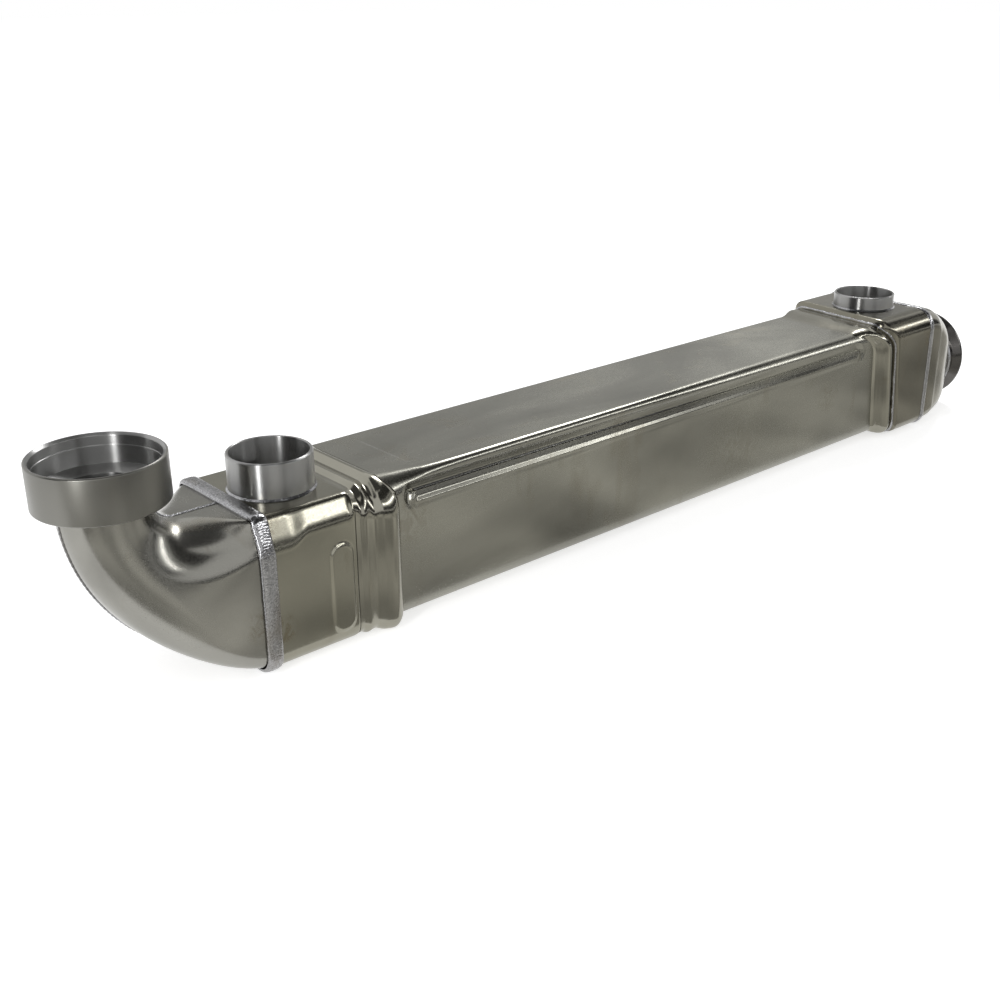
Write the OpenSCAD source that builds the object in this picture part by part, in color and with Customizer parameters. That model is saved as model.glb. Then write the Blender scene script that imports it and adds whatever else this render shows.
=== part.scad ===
// Shell and tube exhaust gas cooler with a rectangular casing, two coolant tanks, an elbow
// outlet with a machined ring and a round inlet with a clamp flange.
// +X leaves the gas inlet along the core, +Z is up, and the origin is the centre of the
// inlet flange's sealing face. Gas runs inside the flat tubes and coolant runs round them.

/* [Casing] */
// Width of the casing
casing_w = 82; // [70:1:100]
// Height of the casing
casing_h = 91; // [84:1:110]
// Length of the casing between its two expansion collars
casing_len = 487; // [300:1:700]
// Radius of the casing's upper long edges
casing_edge_r = 3.5; // [2:0.5:4]
// Radius of the casing's lower long edges
casing_low_r = 6; // [4:0.5:10]
// Thickness of the casing and collar sheet
sheet_t = 1.5; // [1:0.1:2]
// Height of the casing's axis above the inlet flange's axis
core_rise = 10.5; // [0:0.5:20]

/* [Side channel] */
// Distance from the casing's top to the upper edge of the side channel
channel_drop = 4.6; // [4.5:0.1:8]
// Height of the channel from its upper edge to the lap seam
channel_h = 8.3; // [5:0.1:10]
// Depth of the channel at the lap seam
channel_depth = 3.4; // [2.5:0.1:4]
// Distance from the casing's outlet end to the channel
channel_start = 3.5; // [3:0.5:20]
// Distance from the casing's inlet end to the channel
channel_end = 9; // [6:0.5:20]
// Radius of the channel's corners
channel_r = 4; // [2:0.5:6]
// Height of the raised rib under the lap seam
rib_h = 11; // [9:0.5:14]
// How far the rib stands proud of the casing's side
rib_proud = 0.8; // [0.4:0.1:2]
// Distance from each end of the channel to the rib's rounded nose
rib_inset = 7.5; // [5:0.5:12]
// Depth of the dent round the rib's nose
dent_depth = 2; // [1:0.1:3]

/* [Top creases] */
// Distance between the pressed creases and tube supports
support_pitch = 79.3; // [60:0.1:100]
// Distance from the casing's outlet end to the first crease
support_start = 23.8; // [15:0.1:40]
// Number of tube supports
support_count = 6; // [2:1:8]
// Width of a pressed crease
crease_w = 2; // [1:0.1:4]
// Depth of a pressed crease
crease_depth = 0.5; // [0.2:0.1:0.8]
// Distance from a crease's end to the casing's side
crease_end = 15; // [10:1:30]

/* [Gas tubes] */
// Number of flat gas tubes
tube_count = 9; // [3:1:9]
// Distance from the tubes' sides to the casing's sides
tube_margin = 9; // [8:0.5:16]
// Distance from the outer tubes to the casing's top and bottom
core_margin = 4.3; // [3.5:0.1:10]
// Wall of a gas tube
tube_wall = 0.6; // [0.4:0.1:1]
// Gap between neighbouring tubes
tube_gap = 3.1; // [2:0.1:4.5]
// Length of the gas tubes past the inlet tube sheet
tube_stub = 1; // [0.5:0.1:3]
// Thickness of the folded fin inside each tube
fin_t = 0.3; // [0.2:0.05:0.5]
// Distance between neighbouring folds of the fin
fin_fold = 3.5; // [2.5:0.1:6]
// Thickness of the tube sheets
tube_sheet_t = 3; // [2:0.5:5]
// Thickness of the tube supports
support_t = 1.5; // [1:0.1:3]

/* [Outlet tank] */
// How much wider the outlet tank is than the casing
tank_a_wider = 5; // [1:0.5:20]
// How much taller the outlet tank is than the casing
tank_a_taller = 2.5; // [0.5:0.5:20]
// How far its axis lies below the casing's axis
tank_a_drop = 2.75; // [0:0.25:4]
// Wall of both tanks
tank_wall = 2; // [1.5:0.1:2.5]
// Radius of the outlet tank's long edges
tank_a_edge_r = 11; // [8:0.5:14]
// Radius of its upper edge on the side away from the shoulder
tank_a_back_r = 5; // [4:0.5:12]
// Width of the slanted shoulder on the outlet tank's front edge
shoulder_w = 11; // [8:0.5:13]
// Height of the slanted shoulder beside the elbow
shoulder_h = 18; // [12:0.5:20]
// Length of that part of the shoulder
shoulder_step_len = 20; // [10:1:40]
// How much lower the rest of the shoulder is
shoulder_step = 3.5; // [1:0.5:5]
// Length of the tank beyond the shoulder
shoulder_end = 1.5; // [1:0.5:12]
// Width of the pressed pad on the outlet tank's side
pad_w = 15.5; // [10:0.5:20]
// Distance from the pad's lower end to the tank's bottom
pad_foot = 10.5; // [8:0.5:30]
// How far the pad stands proud
pad_proud = 1.2; // [0.5:0.1:2]
// Distance from the tank's top to the pad's upper end
pad_drop = 27; // [20:1:35]
// Distance from the tank's collar end to the pad's centre line
pad_from_collar = 11.5; // [8:0.5:25]

/* [Inlet tank] */
// How much wider the inlet tank is than the casing
tank_b_wider = 23; // [12:0.5:40]
// How much taller the inlet tank is than the casing
tank_b_taller = 10.5; // [6:0.5:30]
// How far its axis lies above the casing's axis
tank_b_rise = 1.75; // [0:0.25:4]
// Radius of the inlet tank's upper long edge at the front
tank_b_edge_r = 17; // [8:0.5:20]
// Radius of its upper long edge at the back
tank_b_back_r = 10; // [8:0.5:20]
// Radius of its lower long edges
tank_b_low_r = 10; // [8:0.5:20]
// How much the inlet tank draws in at its sides where it meets the collar
tank_b_nose = 3; // [1:0.1:4]
// How much it draws in there on the top
tank_b_nose_top = 5; // [2:0.1:6]
// How much it draws in there on the bottom
tank_b_nose_low = 0.8; // [0.5:0.1:3]
// Length over which it draws in
tank_b_nose_len = 4; // [3:0.5:10]

/* [Expansion collars] */
// Length of the outlet collar that shows
collar_a_len = 29; // [20:0.5:40]
// Length of the inlet collar that shows
collar_b_len = 23; // [18:0.5:40]
// Length of each collar tucked into the casing
collar_lap = 5; // [3:0.5:10]
// How far the main bead stands proud of the outlet tank
bead_proud = 2.8; // [1.5:0.1:4]
// How far the second, smaller bead stands proud
small_bead_proud = 1.4; // [0.5:0.1:2]

/* [Coolant ports] */
// Outer diameter of both coolant ports
port_od = 50; // [30:1:52]
// Bore of both coolant ports
port_id = 46; // [26:1:48]
// Height of the outlet tank's port above the tank
port_a_h = 22; // [12:1:40]
// Height of the inlet tank's port above the tank
port_b_h = 11.5; // [8:0.5:40]
// Room on the outlet tank between its tube sheet and its port
port_a_sheet_room = 3.8; // [3.5:0.1:30]
// Room on the outlet tank between its port and its collar
port_a_collar_room = 2.7; // [2.7:0.1:30]
// Room on the inlet tank between its tube sheet and its port
port_b_sheet_room = 0.6; // [0.6:0.1:30]
// Room on the inlet tank between its port and its collar
port_b_collar_room = 2.4; // [2.4:0.1:30]
// Chamfer at the ports' lips
port_chamfer = 0.8; // [0.4:0.1:1]

/* [Elbow] */
// Distance from the outlet tube sheet to the ring's axis
elbow_reach = 69.3; // [60:0.1:90]
// Outer diameter of the elbow's round end
pipe_od = 50; // [40:1:56]
// Wall of the elbow and the diffuser
duct_wall = 2; // [1.5:0.1:2.5]
// Radius of the elbow's throat under the ring
throat_r = 14; // [10:0.5:18]
// Length of the elbow's straight round end
pipe_straight = 5.3; // [5:0.1:20]
// How much flatter the outer bend is than a plain arc
bend_relief = 1.3; // [0:0.1:4]
// How much smaller the ducts are than the tanks that they meet, on each side
duct_inset = 1; // [0.5:0.1:1.5]
// Width of the weld seam between the elbow's half shells
seam_w = 1.2; // [0.8:0.1:2]
// How far that seam stands proud
seam_proud = 0.9; // [0.4:0.1:1.5]

/* [Outlet ring] */
// Outer diameter of the machined outlet ring
ring_od = 72.4; // [64:0.2:90]
// Height of the ring
ring_h = 26; // [20:0.5:40]
// Bore of the ring's mouth
ring_id = 67; // [58:0.5:80]
// Depth of the mouth from the rim to the shelf
ring_depth = 17; // [10:0.5:20]
// Chamfer at the ring's mouth
ring_chamfer = 1.4; // [0.5:0.1:2]
// Length of pipe held in the ring's underside
ring_socket = 4; // [3:0.5:6]
// Height of the ring's rim above the top of the outlet tank
ring_rise = 44.3; // [44:0.1:70]

/* [Inlet flange] */
// Outer diameter of the clamp flange
clamp_od = 78; // [72:0.5:100]
// Bore of the clamp flange
clamp_id = 62; // [50:0.5:64]
// Thickness of the flange's rim
clamp_rim = 3; // [2:0.1:5]
// Length of the cone behind the rim
clamp_cone = 5; // [3:0.5:6]
// Length of the flange from its sealing face to the end of its neck
clamp_len = 14; // [12:0.5:25]
// Outer diameter of the flange's neck
clamp_neck = 67; // [66:0.5:70]
// Length of the diffuser between the flange and the inlet tube sheet
diffuser_len = 69; // [55:0.5:120]

/* [Welds] */
// Width of the large weld bead round the outlet tube sheet
weld_w = 10; // [6:0.5:10]
// How far that bead stands proud
weld_proud = 2; // [1.5:0.1:3]
// How far that bead sits toward the elbow from the tube sheet's middle
weld_shift = 1; // [0.5:0.1:1.5]
// Width of the narrow weld beads at the inlet tank
thin_weld_w = 4.8; // [3.5:0.1:5]
// How far the narrow beads stand proud
thin_weld_proud = 1; // [0.5:0.1:1.5]
// Leg of the small fillet welds
fillet_leg = 1.2; // [0.8:0.1:1.2]

/* [Hidden] */
// Clearance between pieces that are brazed or slid together
fit_gap = 0.1;
// Overrun of every cut
cut = 1;
// Steps in each corner of a lofted wall
corner_steps = 5;
// Steps along the elbow's bend
bend_steps = 14;
// Facets of round solids
$fn = 96;

// Sizes that follow the casing, so that the core and the tanks stay together
tube_w = casing_w - 2 * tube_margin;
tube_pitch = (casing_h - 2 * core_margin + tube_gap) / tube_count;
tube_h = tube_pitch - tube_gap;
tank_a_w = casing_w + tank_a_wider;
tank_a_h = casing_h + tank_a_taller;
tank_b_w = casing_w + tank_b_wider;
tank_b_h = casing_h + tank_b_taller;

// Places along X, from the inlet flange back to the elbow
diffuser_x = -clamp_len - diffuser_len;
sheet_b_x = diffuser_x - tube_sheet_t;
tank_b_len = port_b_sheet_room + port_od + port_b_collar_room;
tank_b_x = sheet_b_x - tank_b_len;
casing_b_x = tank_b_x - collar_b_len;
casing_a_x = casing_b_x - casing_len;
tank_a_end_x = casing_a_x - collar_a_len;
tank_a_len = port_a_sheet_room + port_od + port_a_collar_room;
tank_a_x = tank_a_end_x - tank_a_len;
elbow_x = tank_a_x - tube_sheet_t;
ring_x = elbow_x - elbow_reach;
port_a_x = tank_a_x + port_a_sheet_room + port_od / 2;
port_b_x = sheet_b_x - port_b_sheet_room - port_od / 2;

// Heights
casing_top = core_rise + casing_h / 2;
casing_bottom = core_rise - casing_h / 2;
channel_z = casing_top - channel_drop;
seam_z = channel_z - channel_h;
rib_low_z = seam_z - rib_h;
lip_y = channel_depth - sheet_t - fit_gap - casing_w / 2;
rib_a_x = casing_a_x + channel_start + rib_inset;
rib_b_x = casing_b_x - channel_end - rib_inset;
tank_a_top = core_rise - tank_a_drop + tank_a_h / 2;
tank_a_bottom = tank_a_top - tank_a_h;
tank_b_top = core_rise + tank_b_rise + tank_b_h / 2;
tank_b_bottom = tank_b_top - tank_b_h;
ring_top = tank_a_top + ring_rise;
ring_bottom = ring_top - ring_h;

// Shares that shape the lofted walls
// How late along the bend the elbow gains its width and its corners
bend_width_power = 1.3;
bend_corner_power = 2.1;
// How flat the slanted shoulder is, from a round corner at 0 to a straight cut at 1
shoulder_flat_share = 0.75;
// Where the channel's wall bends, as shares of its depth and of its height
channel_bulge_shares = [0.75, 0.45];
// Braze along the lap, as shares of the sheet: how far out it reaches, and how high
braze_shares = [0.8, 0.6];
// Chamfer at the clamp flange's edge, as a share of its rim
clamp_edge_share = 0.2;
// Outlet collar: place along it, main bead, small bead, and blend from tank to casing
collar_a_shares = [
    [0, 0, 0, 0], [0.1, 0, 0.8, 0], [0.18, 0, 1, 0], [0.27, 0, 0.7, 0.05], [0.35, 0, 0, 0.1],
    [0.46, 0.7, 0, 0.15], [0.56, 1, 0, 0.2], [0.67, 0.95, 0, 0.3], [0.78, 0.5, 0, 0.5],
    [0.88, 0.2, 0, 0.7], [0.96, 0, 0, 1]
];
// Inlet collar: place along it, and blend from casing to tank
collar_b_shares = [
    [0.03, 0], [0.1, 0.4], [0.18, 0.62], [0.28, 0.58], [0.38, 0.7], [0.5, 1.02],
    [0.62, 1.22], [0.74, 1.25], [0.86, 1.16], [0.93, 1.03], [1, 1]
];
// Rib: place down from the lap seam, and how far it stands proud, or how far in if negative
rib_shares = [[0, -1], [0.22, -0.5], [0.4, 0.2], [0.56, 0.9], [0.68, 1], [0.82, 0.6], [1, 0]];
// Inlet tank: place along its drawn-in end, and how much of the full section is reached
nose_shares = [[0, 0], [0.3, 0.55], [0.65, 0.9], [1, 1]];
// Diffuser: place along it, and blends from the tank's section to the round neck, first of its
// sides and bottom, then of its top
diffuser_shares = [
    [0, 0, 0], [0.12, 0.02, 0.04], [0.24, 0.05, 0.1], [0.3, 0.09, 0.16], [0.4, 0.15, 0.25],
    [0.5, 0.22, 0.35], [0.6, 0.33, 0.47], [0.7, 0.49, 0.61], [0.8, 0.68, 0.77],
    [0.9, 0.87, 0.91], [1, 1, 1]
];
// Weld bead: place across it, and how much of its height is reached
bead_shares = [[-1, 0.15], [-0.75, 0.7], [-0.3, 1], [0.3, 1], [0.75, 0.7], [1, 0.15]];

// Names that the loops share
function numbered(prefix, count) = [for (i = [1:count]) str(prefix, "_", i)];

// Small helpers for outlines
function mix(a, b, share) = a * (1 - share) + b * share;
function smooth(share) = share * share * (3 - 2 * share);
function quarter(centre, radii, start) = [
    for (i = [0:corner_steps])
        let (a = start - 90 * i / corner_steps)
        [centre[0] + radii[0] * cos(a), centre[1] + radii[1] * sin(a)]
];
function flattened(points, share) = [
    for (i = [0:len(points) - 1])
        mix(points[i], mix(points[0], points[len(points) - 1], i / (len(points) - 1)), share)
];

// Half of a section on the -Y side, from its bottom to its top. A section is written as
// [half width, bottom, top, lower corner radii, upper corner radii, flatness of that corner,
// upper corner radii on the +Y side].
function half_path(s) = concat(
    [[0, s[1]]],
    quarter([s[3][0] - s[0], s[1] + s[3][1]], s[3], 270),
    flattened(quarter([s[4][0] - s[0], s[2] - s[4][1]], s[4], 180), s[5]),
    [[0, s[2]]]
);
function mirrored(points) = [
    for (i = [len(points) - 2:-1:1]) [-points[i][0], points[i][1]]
];
// Whole section: the shaped half in front, and a plain half behind
function ring_path(s) = concat(
    half_path(s),
    mirrored(half_path(back_section(s)))
);
function back_section(s) = [s[0], s[1], s[2], s[3], s[6], 0, s[6]];
function round_section(half_w, bottom, top, low_r, r, back_r) = [
    half_w, bottom, top, [low_r, low_r], [r, r], 0, [back_r, back_r]
];
function shrunk(s, by) = [
    s[0] - by, s[1] + by, s[2] - by,
    [max(s[3][0] - by, fit_gap), max(s[3][1] - by, fit_gap)],
    [max(s[4][0] - by, fit_gap), max(s[4][1] - by, fit_gap)],
    s[5],
    [max(s[6][0] - by, fit_gap), max(s[6][1] - by, fit_gap)]
];
function blended(a, b, share) = [for (i = [0:len(a) - 1]) mix(a[i], b[i], share)];
function placed(x, points) = [for (p = points) [x, p[0], p[1]]];

// Solid between an outer and an inner net of points. Each net is a list of rings.
function net_faces(rings, points, first, closed, out) = [
    for (i = [0:rings - 2], j = [0:points - (closed ? 1 : 2)])
        let (
            k = (j + 1) % points,
            a = first + i * points + j,
            b = first + i * points + k,
            c = b + points,
            d = a + points
        )
        each (out ? [[a, b, c], [a, c, d]] : [[a, c, b], [a, d, c]])
];
function cap_faces(points, outer, inner, closed, out) = [
    for (j = [0:points - (closed ? 1 : 2)])
        let (
            k = (j + 1) % points
        )
        each (out
            ? [[outer + j, inner + j, inner + k], [outer + j, inner + k, outer + k]]
            : [[outer + j, inner + k, inner + j], [outer + j, outer + k, inner + k]])
];
function edge_faces(rings, points, first, j, out) = [
    for (i = [0:rings - 2])
        let (
            a = i * points + j,
            d = a + points,
            b = first + a,
            c = first + d
        )
        each (out ? [[a, d, c], [a, c, b]] : [[a, c, d], [a, b, c]])
];
module wall(outer, inner, closed = true) {
    n = len(outer[0]);
    first = len(outer) * n;
    last = first + (len(inner) - 1) * n;
    polyhedron(
        points = concat([for (r = outer) each r], [for (r = inner) each r]),
        faces = concat(
            net_faces(len(outer), n, 0, closed, true),
            net_faces(len(inner), n, first, closed, false),
            cap_faces(n, 0, first, closed, true),
            cap_faces(n, first - n, last, closed, false),
            closed ? [] : edge_faces(len(outer), n, first, 0, true),
            closed ? [] : edge_faces(len(outer), n, first, n - 1, false)
        )
    );
}
// Wall of even thickness through sections at places along X
module lofted(places, sections, thickness) {
    wall(
        [for (i = [0:len(places) - 1]) placed(places[i], ring_path(sections[i]))],
        [for (i = [0:len(places) - 1]) placed(places[i], ring_path(shrunk(sections[i], thickness)))]
    );
}
// Weld bead round a section, seated on it and on a smaller one on its -X side
module end_bead(x, w, proud, section, step_x, step) {
    half = w / 2;
    seat = shrunk(section, -fit_gap);
    low = shrunk(section, step - fit_gap);
    wall(
        [for (b = bead_shares)
            placed(x + half * b[0], ring_path(shrunk(section, -proud * b[1] - fit_gap)))],
        [placed(x - half, ring_path(low)), placed(step_x, ring_path(low)),
         placed(step_x, ring_path(seat)), placed(x + half, ring_path(seat))]
    );
}
// Prism along X with its outline in Y and Z
module along_x(from, length) {
    translate([from, 0, 0]) rotate([90, 0, 90]) linear_extrude(length) children();
}
module rounded_rect(w, h, r) {
    square([w, h - 2 * r], center = true);
    square([w - 2 * r, h], center = true);
    for (sx = [-1, 1], sy = [-1, 1])
        translate([sx * (w / 2 - r), sy * (h / 2 - r)]) circle(r);
}
module stadium(length, h) {
    square([length - h, h], center = true);
    for (s = [-1, 1]) translate([s * (length - h) / 2, 0]) circle(h / 2);
}
// Sections of the tanks and the ducts that meet them
function tank_a_section(h) = [
    tank_a_w / 2, tank_a_bottom, tank_a_top,
    [tank_a_edge_r, tank_a_edge_r], [shoulder_w, h], shoulder_flat_share,
    [tank_a_back_r, tank_a_back_r]
];
tank_a_plain = round_section(
    tank_a_w / 2, tank_a_bottom, tank_a_top, tank_a_edge_r, tank_a_edge_r, tank_a_back_r
);
tank_b_full = round_section(
    tank_b_w / 2, tank_b_bottom, tank_b_top, tank_b_low_r, tank_b_edge_r, tank_b_back_r
);
tank_b_end = round_section(
    tank_b_w / 2 - tank_b_nose, tank_b_bottom + tank_b_nose_low,
    tank_b_top - tank_b_nose_top, tank_b_low_r, tank_b_edge_r, tank_b_back_r
);
casing_inside = round_section(
    casing_w / 2 - sheet_t - fit_gap, casing_bottom + sheet_t + fit_gap,
    casing_top - sheet_t - fit_gap,
    casing_low_r - sheet_t, casing_edge_r - sheet_t, casing_edge_r - sheet_t
);

// Machined ring at the gas outlet: a cup with a shelf and a socket for the pipe
module gas_outlet_ring() {
    r = ring_od / 2;
    mouth = ring_id / 2;
    pipe = pipe_od / 2;
    floor_z = ring_h - ring_depth;
    color([0.78, 0.77, 0.74])
        translate([ring_x, 0, ring_bottom])
            rotate_extrude()
                polygon([
                    [pipe + fit_gap, 0], [r - ring_chamfer / 2, 0], [r, ring_chamfer / 2],
                    [r, ring_h - ring_chamfer / 2], [r - ring_chamfer / 2, ring_h],
                    [mouth + ring_chamfer, ring_h], [mouth, ring_h - ring_chamfer],
                    [mouth, floor_z], [pipe - duct_wall, floor_z - duct_wall],
                    [pipe - duct_wall, ring_socket + fit_gap], [pipe + fit_gap, ring_socket + fit_gap]
                ]);
}
// Fillet weld round a tube that stands on a face at the origin
module fillet_ring(r, leg) {
    rotate_extrude()
        polygon([[r + fit_gap, fit_gap], [r + leg, fit_gap], [r + fit_gap, leg]]);
}
module outlet_ring_weld() {
    color([0.5, 0.49, 0.46])
        translate([ring_x, 0, ring_bottom]) mirror([0, 0, 1]) fillet_ring(pipe_od / 2, fillet_leg);
}

// The elbow's centre plane. Its outer bend is an arc that leaves the pipe straight down and
// ends at the tank's bottom, and its throat is an arc followed by a straight top.
elbow_top = tank_a_top - duct_inset;
elbow_bottom = tank_a_bottom + duct_inset;
bend_z = ring_bottom + ring_socket - pipe_straight;
outer_start_x = ring_x - pipe_od / 2;
inner_start_x = ring_x + pipe_od / 2;
bend_run = elbow_x - outer_start_x;
bend_drop = bend_z - elbow_bottom;
bend_r = (bend_run * bend_run + bend_drop * bend_drop) / (2 * bend_run);
bend_angle = atan2(bend_drop, bend_r - bend_run);
throat_arc = throat_r * PI / 2;
throat_len = throat_arc + elbow_x - inner_start_x - throat_r;
function bend_outer(s) =
    let (in = bend_relief * sin(180 * s) / sqrt(2))
    [outer_start_x + bend_r * (1 - cos(bend_angle * s)) + in, bend_z - bend_r * sin(bend_angle * s) + in];
function bend_inner(s) =
    let (d = s * throat_len, a = min(d / throat_arc, 1) * 90)
    [inner_start_x + throat_r * (1 - cos(a)) + max(d - throat_arc, 0),
     elbow_top + throat_r * (1 - sin(a))];
// Stations of the elbow: inner point, outer point, how wide and how square the section is
bend_stations = concat(
    [[[inner_start_x, ring_bottom + ring_socket], [outer_start_x, ring_bottom + ring_socket], 0, 0]],
    [for (i = [0:bend_steps])
        let (s = i / bend_steps)
        [bend_inner(s), bend_outer(s), pow(smooth(s), bend_width_power), pow(smooth(s), bend_corner_power)]]
);
function bend_section(station, by) =
    let (
        half_h = norm(station[0] - station[1]) / 2 - by,
        half_w = mix(pipe_od, tank_a_w - 2 * duct_inset, station[2]) / 2 - by,
        r = max(tank_a_edge_r - duct_inset - by, fit_gap),
        top = [max(shoulder_w - duct_inset - by, fit_gap), shoulder_h - duct_inset - by],
        back = max(tank_a_back_r - duct_inset - by, fit_gap)
    )
    [half_w, -half_h, half_h,
     mix([half_w, half_h], [r, r], station[3]), mix([half_w, half_h], top, station[3]),
     shoulder_flat_share * station[3], mix([half_w, half_h], [back, back], station[3])];
function bend_ring(station, path) =
    let (
        middle = (station[0] + station[1]) / 2,
        up = (station[0] - station[1]) / norm(station[0] - station[1])
    )
    [for (p = path)
        [middle[0] + p[1] * up[0], min(p[0], -seam_w / 2), middle[1] + p[1] * up[1]]];
module elbow_half(plain) {
    wall(
        [for (s = bend_stations)
            let (c = bend_section(s, 0))
            bend_ring(s, half_path(plain ? back_section(c) : c))],
        [for (s = bend_stations)
            let (c = bend_section(s, duct_wall))
            bend_ring(s, half_path(plain ? back_section(c) : c))],
        closed = false
    );
}
module elbow_shell_front() {
    color([0.47, 0.46, 0.43]) elbow_half(false);
}
module elbow_shell_back() {
    color([0.47, 0.46, 0.43]) mirror([0, 1, 0]) elbow_half(true);
}
// One seam of the elbow: a strip in the centre plane that fills the gap between the shells
module seam_strip(edge, other) {
    below = ring_bottom - 2 * fit_gap - fillet_leg;
    path = [for (s = bend_stations)
        let (out = (s[edge] - s[other]) / norm(s[edge] - s[other]))
        [s[edge] + out * seam_proud, s[edge] - out * duct_wall]];
    difference() {
        translate([0, seam_w / 2, 0])
            rotate([90, 0, 0])
                linear_extrude(seam_w)
                    polygon(concat([for (p = path) p[0]], [for (i = [len(path) - 1:-1:0]) path[i][1]]));
        translate([outer_start_x - tank_a_w, -tank_a_w / 2, below]) cube(tank_a_w * 2);
        translate([
            elbow_x - (weld_w - tube_sheet_t) / 2 - fit_gap, -tank_a_w / 2, tank_a_bottom - tank_a_h
        ])
            cube([tank_a_w, tank_a_w, 3 * tank_a_h]);
    }
}
module elbow_seam_weld() {
    color([0.55, 0.54, 0.5]) {
        seam_strip(0, 1);
        seam_strip(1, 0);
    }
}
module outlet_end_weld() {
    color([0.5, 0.49, 0.46])
        end_bead(
            elbow_x + tube_sheet_t / 2 - weld_shift, weld_w, weld_proud,
            tank_a_section(shoulder_h), elbow_x, duct_inset
        );
}

// Gas tubes, their fins and the plates that hold them
function tube_z(i) = core_rise + (i - (tube_count + 1) / 2) * tube_pitch;
module tube_holes(x, length) {
    for (i = [1:tube_count])
        along_x(x - cut, length + 2 * cut)
            translate([0, tube_z(i)]) stadium(tube_w + 2 * fit_gap, tube_h + 2 * fit_gap);
}
module tube_sheet(x, section) {
    color([0.5, 0.5, 0.5])
        difference() {
            along_x(x, tube_sheet_t) polygon(ring_path(section));
            tube_holes(x, tube_sheet_t);
        }
}
module outlet_tube_sheet() {
    tube_sheet(elbow_x, tank_a_section(shoulder_h));
}
module inlet_tube_sheet() {
    tube_sheet(sheet_b_x, tank_b_full);
}
module gas_tube(i) {
    start = elbow_x + fit_gap;
    length = diffuser_x + tube_stub - start;
    color([0.62, 0.6, 0.56])
        difference() {
            along_x(start, length)
                translate([0, tube_z(i)]) stadium(tube_w, tube_h);
            along_x(start - cut, length + 2 * cut)
                translate([0, tube_z(i)]) stadium(tube_w - 2 * tube_wall, tube_h - 2 * tube_wall);
        }
}
module gas_fin(i) {
    rise = tube_h / 2 - tube_wall - fit_gap;
    folds = floor((tube_w - tube_h) / fin_fold / 2) * 2;
    thick = fin_t * norm([fin_fold, 2 * rise]) / fin_fold;
    middle = [for (k = [0:folds])
        [(k - folds / 2) * fin_fold, (k % 2 == 0 ? 1 : -1) * (rise - thick / 2)]];
    color([0.66, 0.64, 0.6])
        along_x(elbow_x + fit_gap, diffuser_x - elbow_x - fit_gap)
            translate([0, tube_z(i)])
                polygon(concat(
                    [for (p = middle) [p[0], p[1] + thick / 2]],
                    [for (k = [folds:-1:0]) [middle[k][0], middle[k][1] - thick / 2]]
                ));
}
function support_x(i) = casing_a_x + support_start + (i - 1) * support_pitch;
module tube_support(i) {
    color([0.55, 0.55, 0.53])
        difference() {
            along_x(support_x(i) - support_t / 2, support_t)
                translate([0, core_rise])
                    square(
                        [casing_w - 2 * (channel_depth + sheet_t * 2 + fit_gap),
                         casing_h - 2 * (sheet_t + crease_depth + fit_gap)],
                        center = true
                    );
            tube_holes(support_x(i) - support_t / 2, support_t);
        }
}

// Outlet tank: a pressed box with a slanted shoulder in two heights and a pad on its side
module tank_a_core(by) {
    low = shoulder_step_len;
    high = tank_a_len - shoulder_step_len - shoulder_end;
    extra = by > 0 ? cut : 0;
    along_x(tank_a_x - extra, low + extra + by)
        polygon(ring_path(shrunk(tank_a_section(shoulder_h), by)));
    along_x(tank_a_x + low - fit_gap + by, high + fit_gap)
        polygon(ring_path(shrunk(tank_a_section(shoulder_h - shoulder_step), by)));
    along_x(tank_a_x + low + high + by, shoulder_end - by + extra)
        polygon(ring_path(shrunk(tank_a_plain, by)));
}
module outlet_tank() {
    pad_x = tank_a_end_x - pad_from_collar;
    color([0.52, 0.51, 0.47])
        difference() {
            union() {
                tank_a_core(0);
                side_stadium_upright(
                    pad_x, tank_a_bottom + pad_foot, tank_a_top - pad_drop,
                    -tank_a_w / 2 - pad_proud, pad_proud + tank_wall / 2
                );
            }
            tank_a_core(tank_wall);
            translate([port_a_x, 0, tank_a_top - 2 * tank_wall])
                cylinder(h = 3 * tank_wall, r = port_od / 2 + fit_gap);
        }
}
// Upright stadium on the front side
module side_stadium_upright(x, low, high, y, depth) {
    translate([x, y + depth, (low + high) / 2])
        rotate([90, 0, 0]) linear_extrude(depth) rotate(90) stadium(high - low, pad_w);
}

// Coolant port: a short tube with a chamfered lip, let into the tank's wall
module port(x, top, h, sink) {
    r = port_od / 2;
    bore = port_id / 2;
    color([0.75, 0.75, 0.74])
        translate([x, 0, top])
            rotate_extrude()
                polygon([
                    [bore, -sink], [r, -sink], [r, h - port_chamfer],
                    [r - port_chamfer, h], [bore + port_chamfer / 2, h], [bore, h - port_chamfer / 2]
                ]);
}
module outlet_tank_port() {
    port(port_a_x, tank_a_top, port_a_h, tank_wall);
}
module inlet_tank_port() {
    port(port_b_x, tank_b_top, port_b_h, tank_b_nose_top + tank_wall);
}
module outlet_port_weld() {
    color([0.5, 0.49, 0.46])
        translate([port_a_x, 0, tank_a_top]) fillet_ring(port_od / 2, fillet_leg);
}
module inlet_port_weld() {
    color([0.5, 0.49, 0.46])
        translate([port_b_x, 0, tank_b_top]) fillet_ring(port_od / 2, fillet_leg);
}

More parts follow.
